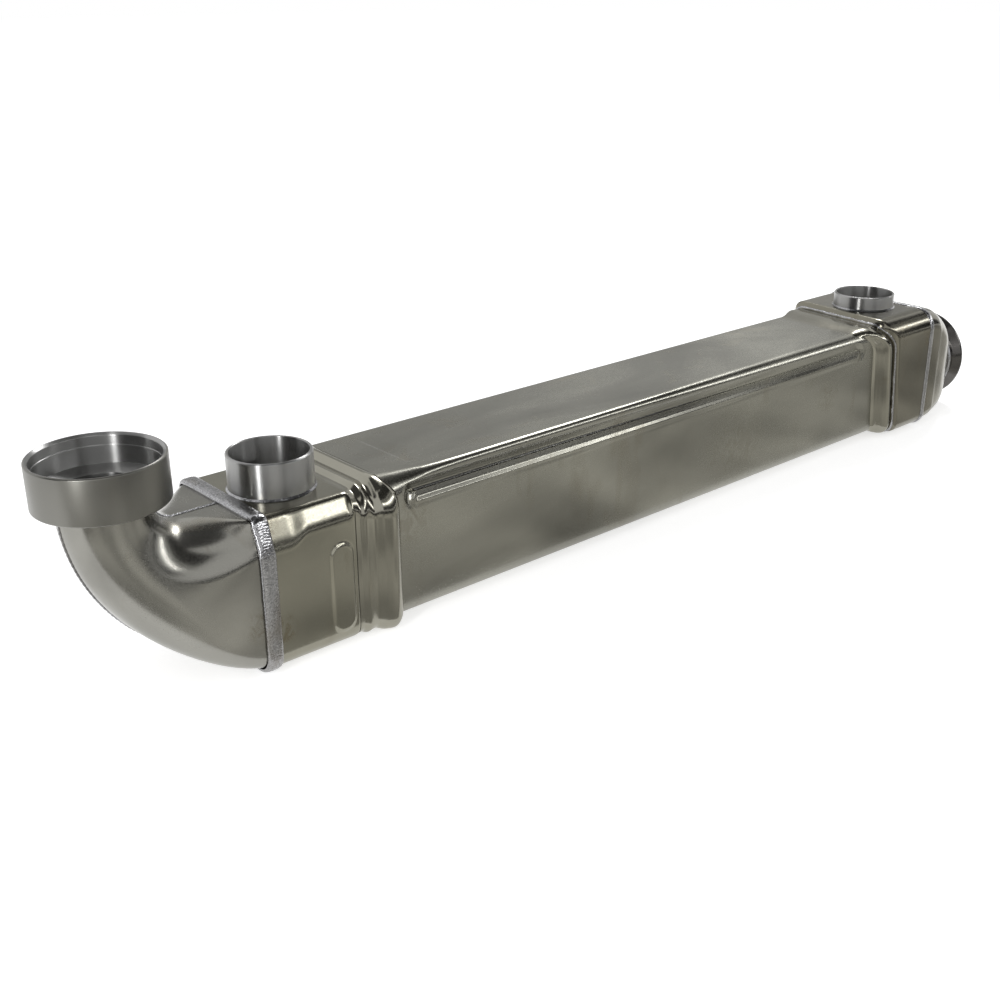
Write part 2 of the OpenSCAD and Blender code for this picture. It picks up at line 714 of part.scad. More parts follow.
// Expansion collars between the tanks and the casing
module outlet_collar() {
    last = casing_a_x + min(collar_lap, channel_start - sheet_t - fit_gap);
    places = concat([for (c = collar_a_shares) tank_a_end_x + collar_a_len * c[0]], [last]);
    sections = concat(
        [for (c = collar_a_shares)
            shrunk(
                blended(tank_a_plain, casing_inside, c[3]),
                -bead_proud * c[1] - small_bead_proud * c[2]
            )],
        [casing_inside]
    );
    color([0.54, 0.53, 0.49]) lofted(places, sections, sheet_t);
}
module inlet_collar() {
    places = concat(
        [casing_b_x - collar_lap],
        [for (c = collar_b_shares) casing_b_x + collar_b_len * c[0]]
    );
    sections = concat(
        [casing_inside],
        [for (c = collar_b_shares) blended(casing_inside, tank_b_end, c[1])]
    );
    color([0.54, 0.53, 0.49]) lofted(places, sections, sheet_t);
}

// Casing of two shells that lap in a channel along each side
module channel_outline(by) {
    side = -casing_w / 2 + by;
    deep = side + channel_depth;
    lip = lip_y + by;
    bulge_y = mix(side, deep, channel_bulge_shares[0]);
    bulge_z = mix(channel_z, seam_z, channel_bulge_shares[1]);
    bend_low = seam_z - rib_h * rib_shares[1][0];
    polygon([
        [side - cut - by, channel_z + by], [side, channel_z + by],
        [bulge_y, bulge_z + by], [deep, seam_z + by], [deep, seam_z], [lip, seam_z],
        [side, bend_low], [side - cut - by, bend_low]
    ]);
}
// Rounded plate in X and Z on the -Y side, pushed along Y
module side_plate(from, to, low, high, y, depth, r) {
    translate([(from + to) / 2, y + depth, (low + high) / 2])
        rotate([90, 0, 0]) linear_extrude(depth) rounded_rect(to - from, high - low, r);
}
module channel_plate(by, depth) {
    side_plate(
        casing_a_x + channel_start - by, casing_b_x - channel_end + by, rib_low_z - by, channel_z + by,
        -casing_w / 2 - cut, cut + depth + by, channel_r + by
    );
}
module rib_plate(by) {
    side_plate(
        rib_a_x + by, rib_b_x - by, rib_low_z - cut, seam_z - by,
        -casing_w / 2 - 2 * cut, 3 * cut + dent_depth + sheet_t, (rib_h - by) / 2
    );
}
// Everything that is pressed into the side: the channel, and a dent round each nose of the rib
module side_cut(by) {
    intersection() {
        along_x(casing_a_x, casing_len) channel_outline(by);
        channel_plate(by, channel_depth);
    }
    difference() {
        channel_plate(by, dent_depth);
        rib_plate(by);
        translate([rib_a_x + rib_h / 2, -casing_w, rib_low_z - casing_h])
            cube([rib_b_x - rib_a_x - rib_h, 2 * casing_w, 2 * casing_h]);
    }
}
module casing_outline(by) {
    high = casing_edge_r - by;
    low = casing_low_r - by;
    half_w = casing_w / 2 - by;
    translate([0, core_rise]) {
        square([2 * (half_w - low), casing_h - 2 * by], center = true);
        translate([-half_w, by + low - casing_h / 2]) square([2 * half_w, casing_h - 2 * by - low - high]);
        translate([high - half_w, 0]) square([2 * (half_w - high), casing_h / 2 - by]);
        for (s = [-1, 1]) {
            translate([s * (half_w - low), by + low - casing_h / 2]) circle(low);
            translate([s * (half_w - high), casing_h / 2 - by - high]) circle(high);
        }
    }
}
module casing_core(by, extra) {
    difference() {
        along_x(casing_a_x - extra, casing_len + 2 * extra) casing_outline(by);
        side_cut(by);
        mirror([0, 1, 0]) side_cut(by);
    }
}
module casing_wall() {
    difference() {
        casing_core(0, 0);
        casing_core(sheet_t, cut);
    }
}
module half_space(low, high) {
    translate([casing_a_x - cut, -casing_w, low])
        cube([casing_len + 2 * cut, 2 * casing_w, high - low]);
}
// Strip of the upper shell that laps behind the lower shell's edge
module skirt() {
    from = rib_a_x + rib_h / 2;
    low = seam_z - rib_h * rib_shares[1][0];
    translate([from, channel_depth - casing_w / 2, low])
        cube([rib_b_x - rib_h / 2 - from, sheet_t, seam_z - low + fit_gap]);
}
module casing_upper_shell() {
    color([0.58, 0.57, 0.53])
        difference() {
            union() {
                intersection() {
                    casing_wall();
                    half_space(seam_z, casing_top + cut);
                }
                skirt();
                mirror([0, 1, 0]) skirt();
            }
            for (i = [1:support_count])
                translate([
                    support_x(i) - crease_w / 2, crease_end - casing_w / 2, casing_top - crease_depth
                ])
                    cube([crease_w, casing_w - 2 * crease_end, 2 * crease_depth]);
        }
}
// Pressed rib along the lower shell's edge, from its lip out past the side and back
module rib() {
    side = -casing_w / 2;
    face = [for (r = rib_shares)
        [r[1] < 0 ? mix(side, lip_y, -r[1]) : side - rib_proud * r[1], seam_z - rib_h * r[0]]];
    intersection() {
        along_x(rib_a_x, rib_b_x - rib_a_x)
            polygon(concat(
                face,
                [for (i = [len(face) - 1:-1:0]) [face[i][0] + sheet_t, face[i][1]]]
            ));
        rib_plate(0);
    }
}
module casing_lower_shell() {
    color([0.56, 0.54, 0.5]) {
        intersection() {
            casing_wall();
            half_space(casing_bottom - cut, seam_z);
        }
        rib();
        mirror([0, 1, 0]) rib();
    }
}
// Braze fillet along the lap, on the edge of the lower shell's lip
module lap_fillet() {
    from = rib_a_x + rib_h / 2;
    deep = channel_depth - casing_w / 2 - fit_gap;
    along_x(from, rib_b_x - rib_h / 2 - from)
        polygon([
            [deep, seam_z + fit_gap], [deep - braze_shares[0] * sheet_t, seam_z + fit_gap],
            [deep, seam_z + fit_gap + braze_shares[1] * sheet_t]
        ]);
}
module casing_seam_front() {
    color([0.6, 0.56, 0.46]) lap_fillet();
}
module casing_seam_back() {
    color([0.6, 0.56, 0.46]) mirror([0, 1, 0]) lap_fillet();
}

// Inlet tank, drawn in where it meets the collar
module inlet_tank() {
    hole_z = tank_b_top - tank_b_nose_top - 2 * tank_wall;
    color([0.46, 0.43, 0.38])
        difference() {
            lofted(
                concat([for (n = nose_shares) tank_b_x + tank_b_nose_len * n[0]], [sheet_b_x]),
                concat([for (n = nose_shares) blended(tank_b_end, tank_b_full, n[1])], [tank_b_full]),
                tank_wall
            );
            translate([port_b_x, 0, hole_z])
                cylinder(h = tank_b_top + cut - hole_z, r = port_od / 2 + fit_gap);
        }
}
module inlet_collar_weld() {
    from = tank_b_x - sheet_t / 2;
    to = tank_b_x + tank_b_nose_len * nose_shares[1][0];
    low = shrunk(tank_b_end, -3 * fit_gap);
    high = shrunk(blended(tank_b_end, tank_b_full, nose_shares[1][1]), -fit_gap);
    color([0.6, 0.59, 0.56])
        wall(
            [for (b = bead_shares)
                let (share = (1 + b[0]) / 2)
                placed(
                    mix(from, to, share),
                    ring_path(shrunk(blended(low, high, share), -thin_weld_proud * b[1]))
                )],
            [placed(from, ring_path(low)), placed(tank_b_x, ring_path(low)),
             placed(to, ring_path(high))]
        );
}
module inlet_end_weld() {
    color([0.5, 0.49, 0.46])
        mirror([1, 0, 0])
            end_bead(
                -diffuser_x + tube_sheet_t / 2, thin_weld_w, thin_weld_proud,
                tank_b_full, -diffuser_x, duct_inset
            );
}

// Diffuser from the tank's section to the round neck
module inlet_diffuser() {
    wide = shrunk(tank_b_full, duct_inset);
    neck = clamp_neck / 2 - fit_gap;
    round_r = neck - fit_gap;
    narrow = round_section(neck, -neck, neck, round_r, round_r, round_r);
    color([0.45, 0.42, 0.37])
        lofted(
            [for (d = diffuser_shares) diffuser_x + diffuser_len * d[0]],
            [for (d = diffuser_shares)
                [for (i = [0:len(wide) - 1])
                    mix(wide[i], narrow[i], i == 2 || i == 4 || i == 6 ? d[2] : d[1])]],
            duct_wall
        );
}
// Clamp flange at the gas inlet, with a cone behind its rim for the clamp band
module inlet_clamp_flange() {
    rim = clamp_od / 2;
    neck = clamp_neck / 2;
    bore = clamp_id / 2;
    edge = clamp_rim * clamp_edge_share;
    color([0.3, 0.29, 0.28])
        rotate([0, 90, 0])
            rotate_extrude()
                polygon([
                    [bore, -clamp_len], [neck, -clamp_len], [neck, -clamp_rim - clamp_cone],
                    [rim, -clamp_rim], [rim, -edge], [rim - edge, 0], [bore, 0]
                ]);
}
module inlet_flange_weld() {
    neck = clamp_neck / 2;
    color([0.4, 0.38, 0.34])
        rotate([0, 90, 0])
            rotate_extrude()
                translate([neck + fit_gap, -clamp_len])
                    polygon([
                        [0, -fillet_leg], [fillet_leg, 0], [fillet_leg, fillet_leg / 2], [0, fillet_leg * 2]
                    ]);
}

gas_outlet_ring();
outlet_ring_weld();
elbow_shell_front();
elbow_shell_back();
elbow_seam_weld();
outlet_end_weld();
outlet_tube_sheet();
outlet_tank();
outlet_tank_port();
outlet_port_weld();
outlet_collar();
casing_upper_shell();
casing_lower_shell();
casing_seam_front();
casing_seam_back();
inlet_collar();
inlet_collar_weld();
inlet_tank();
inlet_tank_port();
inlet_port_weld();
inlet_tube_sheet();
inlet_end_weld();
inlet_diffuser();
inlet_flange_weld();
inlet_clamp_flange();
for (i = [1:tube_count]) gas_tube(i);
for (i = [1:tube_count]) gas_fin(i);
for (i = [1:support_count]) tube_support(i);
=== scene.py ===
import math

import bpy
import numpy as np
from mathutils import Matrix, Vector


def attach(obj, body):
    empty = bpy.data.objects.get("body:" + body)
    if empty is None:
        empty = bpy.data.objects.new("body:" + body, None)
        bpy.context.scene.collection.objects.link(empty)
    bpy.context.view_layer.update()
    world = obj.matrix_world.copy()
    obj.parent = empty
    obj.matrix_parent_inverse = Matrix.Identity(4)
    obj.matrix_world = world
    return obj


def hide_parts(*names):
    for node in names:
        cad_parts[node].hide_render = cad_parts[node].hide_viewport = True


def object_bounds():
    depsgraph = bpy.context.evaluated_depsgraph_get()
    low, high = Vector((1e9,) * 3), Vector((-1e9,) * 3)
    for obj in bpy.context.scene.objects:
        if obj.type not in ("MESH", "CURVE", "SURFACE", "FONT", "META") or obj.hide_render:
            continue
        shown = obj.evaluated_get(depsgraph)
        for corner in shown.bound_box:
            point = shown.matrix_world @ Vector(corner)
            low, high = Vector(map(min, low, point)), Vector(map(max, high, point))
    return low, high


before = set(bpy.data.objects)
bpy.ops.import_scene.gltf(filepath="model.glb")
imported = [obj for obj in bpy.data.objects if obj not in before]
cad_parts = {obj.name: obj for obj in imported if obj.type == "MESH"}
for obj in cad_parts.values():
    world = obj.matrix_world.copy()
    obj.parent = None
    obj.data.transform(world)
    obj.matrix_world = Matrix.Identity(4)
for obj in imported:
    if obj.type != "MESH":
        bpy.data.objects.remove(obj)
cad_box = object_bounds()

MM = 0.001
BODY = "root"

# Places and sizes of the cooler, in millimetres, as the solids have them
SHEET = 1.5
DUCT_WALL = 2.0
CASING_A, CASING_B = -649.0, -162.0
CASING_HALF = 41.0
CASING_TOP, CASING_LOW = 56.0, -35.0
TANK_A0, TANK_A1 = -734.5, -678.0
TANK_A_HALF = 43.5
TANK_A_TOP, TANK_A_LOW = 54.5, -39.0
TANK_B0, TANK_B1 = -139.0, -86.0
TANK_B_HALF = 52.5
TANK_B_TOP, TANK_B_LOW = 63.0, -38.5
ELBOW_X = -737.5
RING_X, RING_LOW = -806.8, 72.8
RING_H = 26.0
DIFFUSER_X = -83.0
DIFFUSER_LEN = 69.0
CHANNEL_TOP, SEAM_Z, RIB_LOW = 51.4, 43.1, 32.1
CHANNEL_X0, CHANNEL_X1 = CASING_A + 3.5, CASING_B - 9.0
RIB_X0, RIB_X1 = CHANNEL_X0 + 7.5, CHANNEL_X1 - 7.5


# Small helpers for curves
def mix(a, b, t):
    return a * (1 - t) + b * t


def smooth(t):
    t = np.clip(t, 0, 1)
    return t * t * (3 - 2 * t)


def curve(xs, ys, x):
    """Smooth curve through the points, without overshoot between level ones."""
    xs, ys, x = np.asarray(xs, float), np.asarray(ys, float), np.asarray(x, float)
    d = np.diff(ys) / np.diff(xs)
    m = np.zeros(len(xs))
    m[1:-1] = np.where(d[1:] * d[:-1] > 0, 2 * d[1:] * d[:-1] / (d[1:] + d[:-1] + 1e-12), 0)
    m[0], m[-1] = d[0], d[-1]
    i = np.clip(np.searchsorted(xs, x) - 1, 0, len(xs) - 2)
    h = xs[i + 1] - xs[i]
    t = np.clip((x - xs[i]) / h, 0, 1)
    a, b = 2 * t**3 - 3 * t**2 + 1, t**3 - 2 * t**2 + t
    return a * ys[i] + b * h * m[i] + (1 - a) * ys[i + 1] + (t**3 - t**2) * h * m[i + 1]


def value_noise(p, seed, scale):
    """Smooth noise from -1 to 1 at points in space, the same on each run."""
    q = np.asarray(p, float) / scale + seed * 17.31
    i = np.floor(q).astype(np.int64)
    f = q - i
    f = f * f * (3 - 2 * f)
    total = np.zeros(q.shape[:-1])
    for dx in (0, 1):
        for dy in (0, 1):
            for dz in (0, 1):
                n = (i[..., 0] + dx) * 374761393 + (i[..., 1] + dy) * 668265263
                n = n + (i[..., 2] + dz) * 2147483647 + seed * 144665
                n = (n ^ (n >> 13)) * 1274126177
                v = ((n ^ (n >> 16)) & 0xFFFF) / 32767.5 - 1
                w = np.where(dx, f[..., 0], 1 - f[..., 0])
                w = w * np.where(dy, f[..., 1], 1 - f[..., 1])
                w = w * np.where(dz, f[..., 2], 1 - f[..., 2])
                total += v * w
    return total


# Meshes
def make(name, points, faces, material, nodes, sharp=35):
    mesh = bpy.data.meshes.new(name)
    mesh.from_pydata((np.asarray(points, float) * MM).tolist(), [], faces)
    mesh.validate()
    mesh.shade_smooth()
    mesh.set_sharp_from_angle(angle=math.radians(sharp))
    obj = bpy.data.objects.new(name, mesh)
    bpy.context.scene.collection.objects.link(obj)
    mesh.materials.append(material)
    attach(obj, BODY)
    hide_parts(*nodes)
    return obj


def net_faces(rows, cols, first, closed, flip):
    faces = []
    for i in range(rows - 1):
        for j in range(cols if closed else cols - 1):
            k = (j + 1) % cols
            a, b = first + i * cols + j, first + i * cols + k
            quad = (a, a + cols, b + cols, b)
            faces.append(quad[::-1] if flip else quad)
    return faces


def band(a, b, flip):
    """Faces between two lists of vertex numbers of the same length."""
    quads = [(a[i], b[i], b[i + 1], a[i + 1]) for i in range(len(a) - 1)]
    return [q[::-1] for q in quads] if flip else quads


def wall(outer, inner, closed=True):
    """Closed solid between an outer and an inner net of points, each rows x columns x 3."""
    rows, cols = outer.shape[:2]
    n = rows * cols
    points = np.concatenate([outer.reshape(-1, 3), inner.reshape(-1, 3)])
    faces = net_faces(rows, cols, 0, closed, False)
    faces += net_faces(rows, cols, n, closed, True)
    ring = list(range(cols)) + ([0] if closed else [])
    first = ring
    last = [(rows - 1) * cols + j for j in ring]
    faces += band(first, [n + j for j in first], True)
    faces += band(last, [n + j for j in last], False)
    if not closed:
        low = [i * cols for i in range(rows)]
        high = [i * cols + cols - 1 for i in range(rows)]
        faces += band(low, [n + j for j in low], False)
        faces += band(high, [n + j for j in high], True)
    return points, faces


def normals(net, closed):
    along = np.gradient(net, axis=0)
    if closed:
        across = np.roll(net, -1, axis=1) - np.roll(net, 1, axis=1)
    else:
        across = np.gradient(net, axis=1)
    n = np.cross(along, across)
    return n / np.maximum(np.linalg.norm(n, axis=2, keepdims=True), 1e-9)


def bezier(a, b, c, t):
    t = t[:, None]
    return (1 - t) ** 2 * a + 2 * t * (1 - t) * b + t * t * c


def facet(start, end, steps):
    """From start up and over to end in Y and Z: a flat slanted face between two rounded edges."""
    low = np.array([start[0], start[1] + 0.2 * (end[1] - start[1])])
    high = np.array([end[0] + 0.3 * (start[0] - end[0]), end[1]])
    third = steps // 3 + 1
    a, b = mix(low, high, 0.3), mix(low, high, 0.85)
    first = bezier(start, low, a, np.linspace(0, 1, third))
    last = bezier(b, high, end, np.linspace(0, 1, third))
    return np.concatenate([first, line(a, b, steps - 2 * third + 1), last])


def corner(cy, cz, ry, rz, start, steps, flat=0.0):
    """Quarter of an ellipse, turning clockwise seen along +X from start degrees."""
    a = np.radians(start - 90 * np.linspace(0, 1, steps))
    p = np.stack([cy + ry * np.cos(a), cz + rz * np.sin(a)], 1)
    if flat > 0:
        p = mix(p, facet(p[0], p[-1], steps), flat)
    return p


def line(a, b, steps):
    return np.linspace(a, b, steps + 1)[1:-1]


CORNER_STEPS = 20
TOP_STEPS = 24
SIDE_STEPS = 60


def section(s):
    """Closed outline in Y and Z, from the bottom's middle up the front and down the back.
    s holds half width, bottom, top, lower radii, upper front radii, flatness, upper back radii."""
    half, low, top, lo, fr, flat, bk = s
    bottom_mid = np.array([0.0, low])
    c1 = corner(-half + lo[0], low + lo[1], lo[0], lo[1], 270, CORNER_STEPS)
    c2 = corner(-half + fr[0], top - fr[1], fr[0], fr[1], 180, CORNER_STEPS, flat)
    c3 = corner(half - bk[0], top - bk[1], bk[0], bk[1], 90, CORNER_STEPS)
    c4 = corner(half - lo[0], low + lo[1], lo[0], lo[1], 0, CORNER_STEPS)
    return np.concatenate([
        bottom_mid[None], line(bottom_mid, c1[0], TOP_STEPS // 2), c1,
        line(c1[-1], c2[0], SIDE_STEPS), c2, line(c2[-1], c3[0], TOP_STEPS), c3,
        line(c3[-1], c4[0], SIDE_STEPS), c4, line(c4[-1], bottom_mid, TOP_STEPS // 2),
    ])


def sec(half, low, top, lo, fr, flat=0.0, bk=None):
    pair = lambda r: np.array(r if hasattr(r, "__len__") else (r, r), float)
    return [half, low, top, pair(lo), pair(fr), flat, pair(fr if bk is None else bk)]


def shrunk(s, by):
    cut = lambda r: np.maximum(r - by, 0.1)
    return [s[0] - by, s[1] + by, s[2] - by, cut(s[3]), cut(s[4]), s[5], cut(s[6])]


def blended(a, b, t):
    return [mix(a[i], b[i], t) for i in range(len(a))]


def at_x(x, outline):
    return np.concatenate([np.full((len(outline), 1), x), outline], 1)


def net(xs, sections):
    return np.array([at_x(x, section(s)) for x, s in zip(xs, sections)])


# Sections that the pieces share
TANK_B_FULL = sec(TANK_B_HALF, TANK_B_LOW, TANK_B_TOP, 10, 17, 0, 10)
TANK_B_END = sec(TANK_B_HALF - 3, TANK_B_LOW + 0.8, TANK_B_TOP - 5, 10, 17, 0, 10)


def tank_a(h, flat=1.0, w=8.5):
    return sec(TANK_A_HALF, TANK_A_LOW, TANK_A_TOP, 11, (w, h), flat, 5)


# Materials: brushed and pressed stainless steel with stains, fine scratches and soft dents, and
# painted shade in some of the marks, such as round the port feet
def material(name, tones, rough, seed, grain=(1, 1, 1), grain_depth=0.15, mottle=0.2,
             stain_and_shade_tone=(0.15, 0.12, 0.07), stain_amount=0.3, turned=None, cloud_scale=14,
             bump_scale=160, bump_depth=0.00006, stain_and_shade_marks=(), streak=(1, 1, 1)):
    mat = bpy.data.materials.new(name)
    mat.use_nodes = True
    nt = mat.node_tree
    nt.nodes.clear()
    new, link = nt.nodes.new, nt.links.new
    out = new("ShaderNodeOutputMaterial")
    bsdf = new("ShaderNodeBsdfPrincipled")
    bsdf.inputs["Metallic"].default_value = 1.0
    if turned:
        tangent = new("ShaderNodeTangent")
        tangent.direction_type, tangent.axis = "RADIAL", turned
        link(tangent.outputs[0], bsdf.inputs["Tangent"])
        bsdf.inputs["Anisotropic"].default_value = 0.95
        bsdf.inputs["Anisotropic Rotation"].default_value = 0.25
    link(bsdf.outputs[0], out.inputs[0])
    coords = new("ShaderNodeTexCoord").outputs["Object"]

    def noise(scale, detail, stretch=(1, 1, 1), distort=0.0, shift=0.0):
        mapping = new("ShaderNodeMapping")
        mapping.inputs["Scale"].default_value = stretch
        mapping.inputs["Location"].default_value = (seed + shift, seed * 2, shift)
        link(coords, mapping.inputs[0])
        tex = new("ShaderNodeTexNoise")
        tex.inputs["Scale"].default_value = scale
        tex.inputs["Detail"].default_value = detail
        tex.inputs["Distortion"].default_value = distort
        link(mapping.outputs[0], tex.inputs[0])
        return tex.outputs["Fac"]

    def ramp(value, stops):
        node = new("ShaderNodeValToRGB")
        node.color_ramp.elements.remove(node.color_ramp.elements[1])
        for k, (place, colour) in enumerate(stops):
            e = node.color_ramp.elements[0] if k == 0 else node.color_ramp.elements.new(place)
            e.position = place
            e.color = (*colour, 1)
        link(value, node.inputs[0])
        return node.outputs[0]

    def span(value, a, b, c, d):
        node = new("ShaderNodeMapRange")
        for k, v in enumerate((a, b, c, d)):
            node.inputs[k + 1].default_value = v
        link(value, node.inputs[0])
        return node.outputs[0]

    def blend_colour(factor, a, b, mode="MIX"):
        node = new("ShaderNodeMix")
        node.data_type = "RGBA"
        node.blend_type = mode
        for socket, v in ((0, factor), (6, a), (7, b)):
            if hasattr(v, "is_linked"):
                link(v, node.inputs[socket])
            else:
                node.inputs[socket].default_value = v
        return node.outputs[2]

    def add(a, b, how="ADD"):
        node = new("ShaderNodeMath")
        node.operation = how
        for socket, v in enumerate((a, b)):
            if hasattr(v, "is_linked"):
                link(v, node.inputs[socket])
            else:
                node.inputs[socket].default_value = v
        return node.outputs[0]

    cloud = noise(cloud_scale, 4, streak, 0.6)
    fine = noise(900, 3, grain)
    spots = noise(38, 6, (1, 1, 0.35), 0.8, 3.1)
    ragged = noise(210, 5, (1, 1, 0.6), 1.0, 7.7)
    colour = ramp(cloud, [(0.3, tones[0]), (0.5, tones[1]), (0.7, tones[2])])
    stain_and_shade_mask = span(spots, 0.56, 0.74, 0, stain_amount)
    # Each mark darkens the colour round a point: stains and heat tint by the welds, and painted
    # shade round the port feet where the port meets the tank
    for x, y, z, size, amount in stain_and_shade_marks:
        away = new("ShaderNodeVectorMath")
        away.operation = "DISTANCE"
        away.inputs[1].default_value = (x * MM, y * MM, z * MM)
        link(coords, away.inputs[0])
        near = span(away.outputs["Value"], size * 0.2 * MM, size * MM, amount, 0)
        stain_and_shade_mask = add(stain_and_shade_mask, add(near, span(ragged, 0.4, 0.66, 0, 1), "MULTIPLY"), "MAXIMUM")
    colour = blend_colour(stain_and_shade_mask, colour, (*stain_and_shade_tone, 1))
    link(colour, bsdf.inputs["Base Color"])
    roughness = add(span(cloud, 0.3, 0.7, rough - mottle * rough, rough + mottle * rough),
                    span(fine, 0.3, 0.7, -grain_depth * rough, grain_depth * rough))
    link(add(roughness, span(stain_and_shade_mask, 0, 1, 0, 0.25)), bsdf.inputs["Roughness"])
    bump = new("ShaderNodeBump")
    bump.inputs["Strength"].default_value = 0.25
    bump.inputs["Distance"].default_value = bump_depth
    relief = add(span(fine, 0, 1, 0, 0.3), span(noise(bump_scale, 2), 0, 1, 0, 0.8))
    link(relief, bump.inputs["Height"])
    link(bump.outputs[0], bsdf.inputs["Normal"])
    return mat


def greys(r, g, b, spread=0.12):
    return [tuple(c * k for c in (r, g, b)) for k in (1 - spread, 1, 1 + spread)]


steel_elbow = material("elbow_steel", greys(0.28, 0.275, 0.25, 0.16), 0.22, 1.0,
                       stain_and_shade_marks=[(-742, -43, -6, 14, 0.5), (-742, -30, 45, 10, 0.5)])
# The mark round the outlet port's foot is painted shade at the port's base, with some heat tint
steel_tank = material("tank_steel", greys(0.29, 0.28, 0.23, 0.16), 0.2, 2.0,
                      stain_and_shade_marks=[(-731, -43.5, -14, 12, 0.8), (-705.7, 0, 54, 31, 0.9),
                             (-731, -34, 48, 12, 0.6)])
# The mark round the inlet port's foot is painted shade at the port's base, with some heat tint
steel_inlet = material("inlet_steel", greys(0.2, 0.19, 0.155, 0.18), 0.2, 2.6,
                       stain_and_shade_marks=[(-111.6, 0, 63, 29.5, 0.9), (-90, -52, 40, 12, 0.6),
                              (-126, -50, 50, 12, 0.6)])
steel_casing = material("casing_steel", greys(0.29, 0.285, 0.25, 0.2), 0.24, 3.0,
                        streak=(0.45, 1, 1.2),
                        stain_and_shade_marks=[(-560, 14, 56, 16, 0.4), (-640, -41, 25, 22, 0.3),
                               (-330, -41, 0, 40, 0.2), (-215, -41, 12, 18, 0.25)])
steel_collar = material("collar_steel", greys(0.3, 0.29, 0.245), 0.16, 3.7,
                        stain_and_shade_marks=[(-143, -47, 12, 5, 0.5)])
steel_weld = material("weld_steel", greys(0.36, 0.36, 0.37, 0.4), 0.2, 4.0, cloud_scale=1100,
                      bump_scale=700, bump_depth=0.0006, stain_amount=0.6)
steel_turned = material("turned_steel", greys(0.36, 0.36, 0.355, 0.05), 0.33, 5.0,
                        grain=(1, 1, 14), mottle=0.06, stain_amount=0.05, turned="Z")
steel_ring = material("ring_steel", greys(0.2, 0.197, 0.18, 0.06), 0.34, 5.5,
                      grain=(1, 1, 10), mottle=0.1, stain_amount=0.1)
# Painted shade: the flange's steel is toned much darker than the other turned steel, standing in
# for the shadow on its back face
steel_flange_shade_dark = material("flange_steel", greys(0.12, 0.115, 0.11), 0.3, 6.0,
                        grain=(14, 1, 1), stain_amount=0.05, turned="X")
steel_core = material("core_steel", greys(0.24, 0.235, 0.22), 0.4, 7.0)


# Turned pieces
def lathe(name, profile, place, along_x, material, nodes, steps=192, sharp=28):
    """Ring turned from a closed profile of radius and height, given anticlockwise."""
    a = np.linspace(0, 2 * math.pi, steps, endpoint=False)
    p = np.asarray(profile, float)
    r, h = p[:, :1], p[:, 1:]
    if along_x:
        points = np.stack([h + 0 * a, r * np.cos(a), r * np.sin(a)], 2)
    else:
        points = np.stack([r * np.cos(a), r * np.sin(a), h + 0 * a], 2)
    points = points + np.asarray(place, float)
    rows = len(p)
    faces = []
    for i in range(rows):
        k = (i + 1) % rows
        for j in range(steps):
            m = (j + 1) % steps
            faces.append((i * steps + j, i * steps + m, k * steps + m, k * steps + j))
    return make(name, points.reshape(-1, 3), faces, material, nodes, sharp)


def rounded(points, radius, steps=4):
    """Closed profile with each corner rounded."""
    p = np.asarray(points, float)
    out = []
    for i in range(len(p)):
        a, b, c = p[i - 1], p[i], p[(i + 1) % len(p)]
        u, v = a - b, c - b
        lu, lv = np.linalg.norm(u), np.linalg.norm(v)
        cut = min(radius, lu * 0.45, lv * 0.45)
        s, e = b + u / lu * cut, b + v / lv * cut
        for t in np.linspace(0, 1, steps):
            out.append((1 - t) ** 2 * s + 2 * t * (1 - t) * b + t * t * e)
    return np.array(out)


def cut_hole(obj, centre, radius, low, high):
    """Cuts a round hole along Z with an exact boolean, and keeps the result as the mesh."""
    bpy.ops.mesh.primitive_cylinder_add(
        vertices=128, radius=radius * MM, depth=(high - low) * MM,
        location=(centre[0] * MM, centre[1] * MM, (low + high) / 2 * MM))
    cutter = bpy.context.object
    mod = obj.modifiers.new("hole", "BOOLEAN")
    mod.operation, mod.solver, mod.object = "DIFFERENCE", "EXACT", cutter
    graph = bpy.context.evaluated_depsgraph_get()
    mesh = bpy.data.meshes.new_from_object(obj.evaluated_get(graph))
    obj.modifiers.clear()
    obj.data = mesh
    bpy.data.objects.remove(cutter)


# Machined ring at the gas outlet
ring_r, mouth_r, shelf_r, foot_r = 36.18, 33.5, 23, 25.1
ring = lathe("outlet_ring_turned", rounded([
    (foot_r, 0), (ring_r - 0.7, 0), (ring_r, 0.7), (ring_r, RING_H - 0.7),
    (ring_r - 0.7, RING_H), (mouth_r + 1.4, RING_H), (mouth_r, RING_H - 1.4),
    (mouth_r, 19.4), (mouth_r - 0.35, 19.1), (mouth_r - 0.35, 9), (shelf_r, 7),
    (shelf_r, 4.1), (foot_r, 4.1)], 0.25),
    (RING_X, 0, RING_LOW), False, steel_turned, ["gas_outlet_ring"])
ring.data.materials.append(steel_ring)
for face in ring.data.polygons:
    if math.hypot(face.center[0] - RING_X * MM, face.center[1]) > (ring_r - 0.9) * MM:
        face.material_index = 1

# Coolant ports
PORT_A, PORT_B = (-705.7, 0, TANK_A_TOP), (-111.6, 0, TANK_B_TOP)
PORT_R, PORT_BORE_R, PORT_HOLE_R = 25, 23, 25.05


def port(name, place, high, sink, node):
    lathe(name, rounded([
        (PORT_BORE_R, -sink), (PORT_R, -sink), (PORT_R, high - 0.8), (PORT_R - 0.8, high),
        (PORT_BORE_R + 0.4, high), (PORT_BORE_R, high - 0.4)], 0.2),
        place, False, steel_turned, [node])


port("outlet_port_tube", PORT_A, 22, 2, "outlet_tank_port")
port("inlet_port_tube", PORT_B, 11.5, 7, "inlet_tank_port")

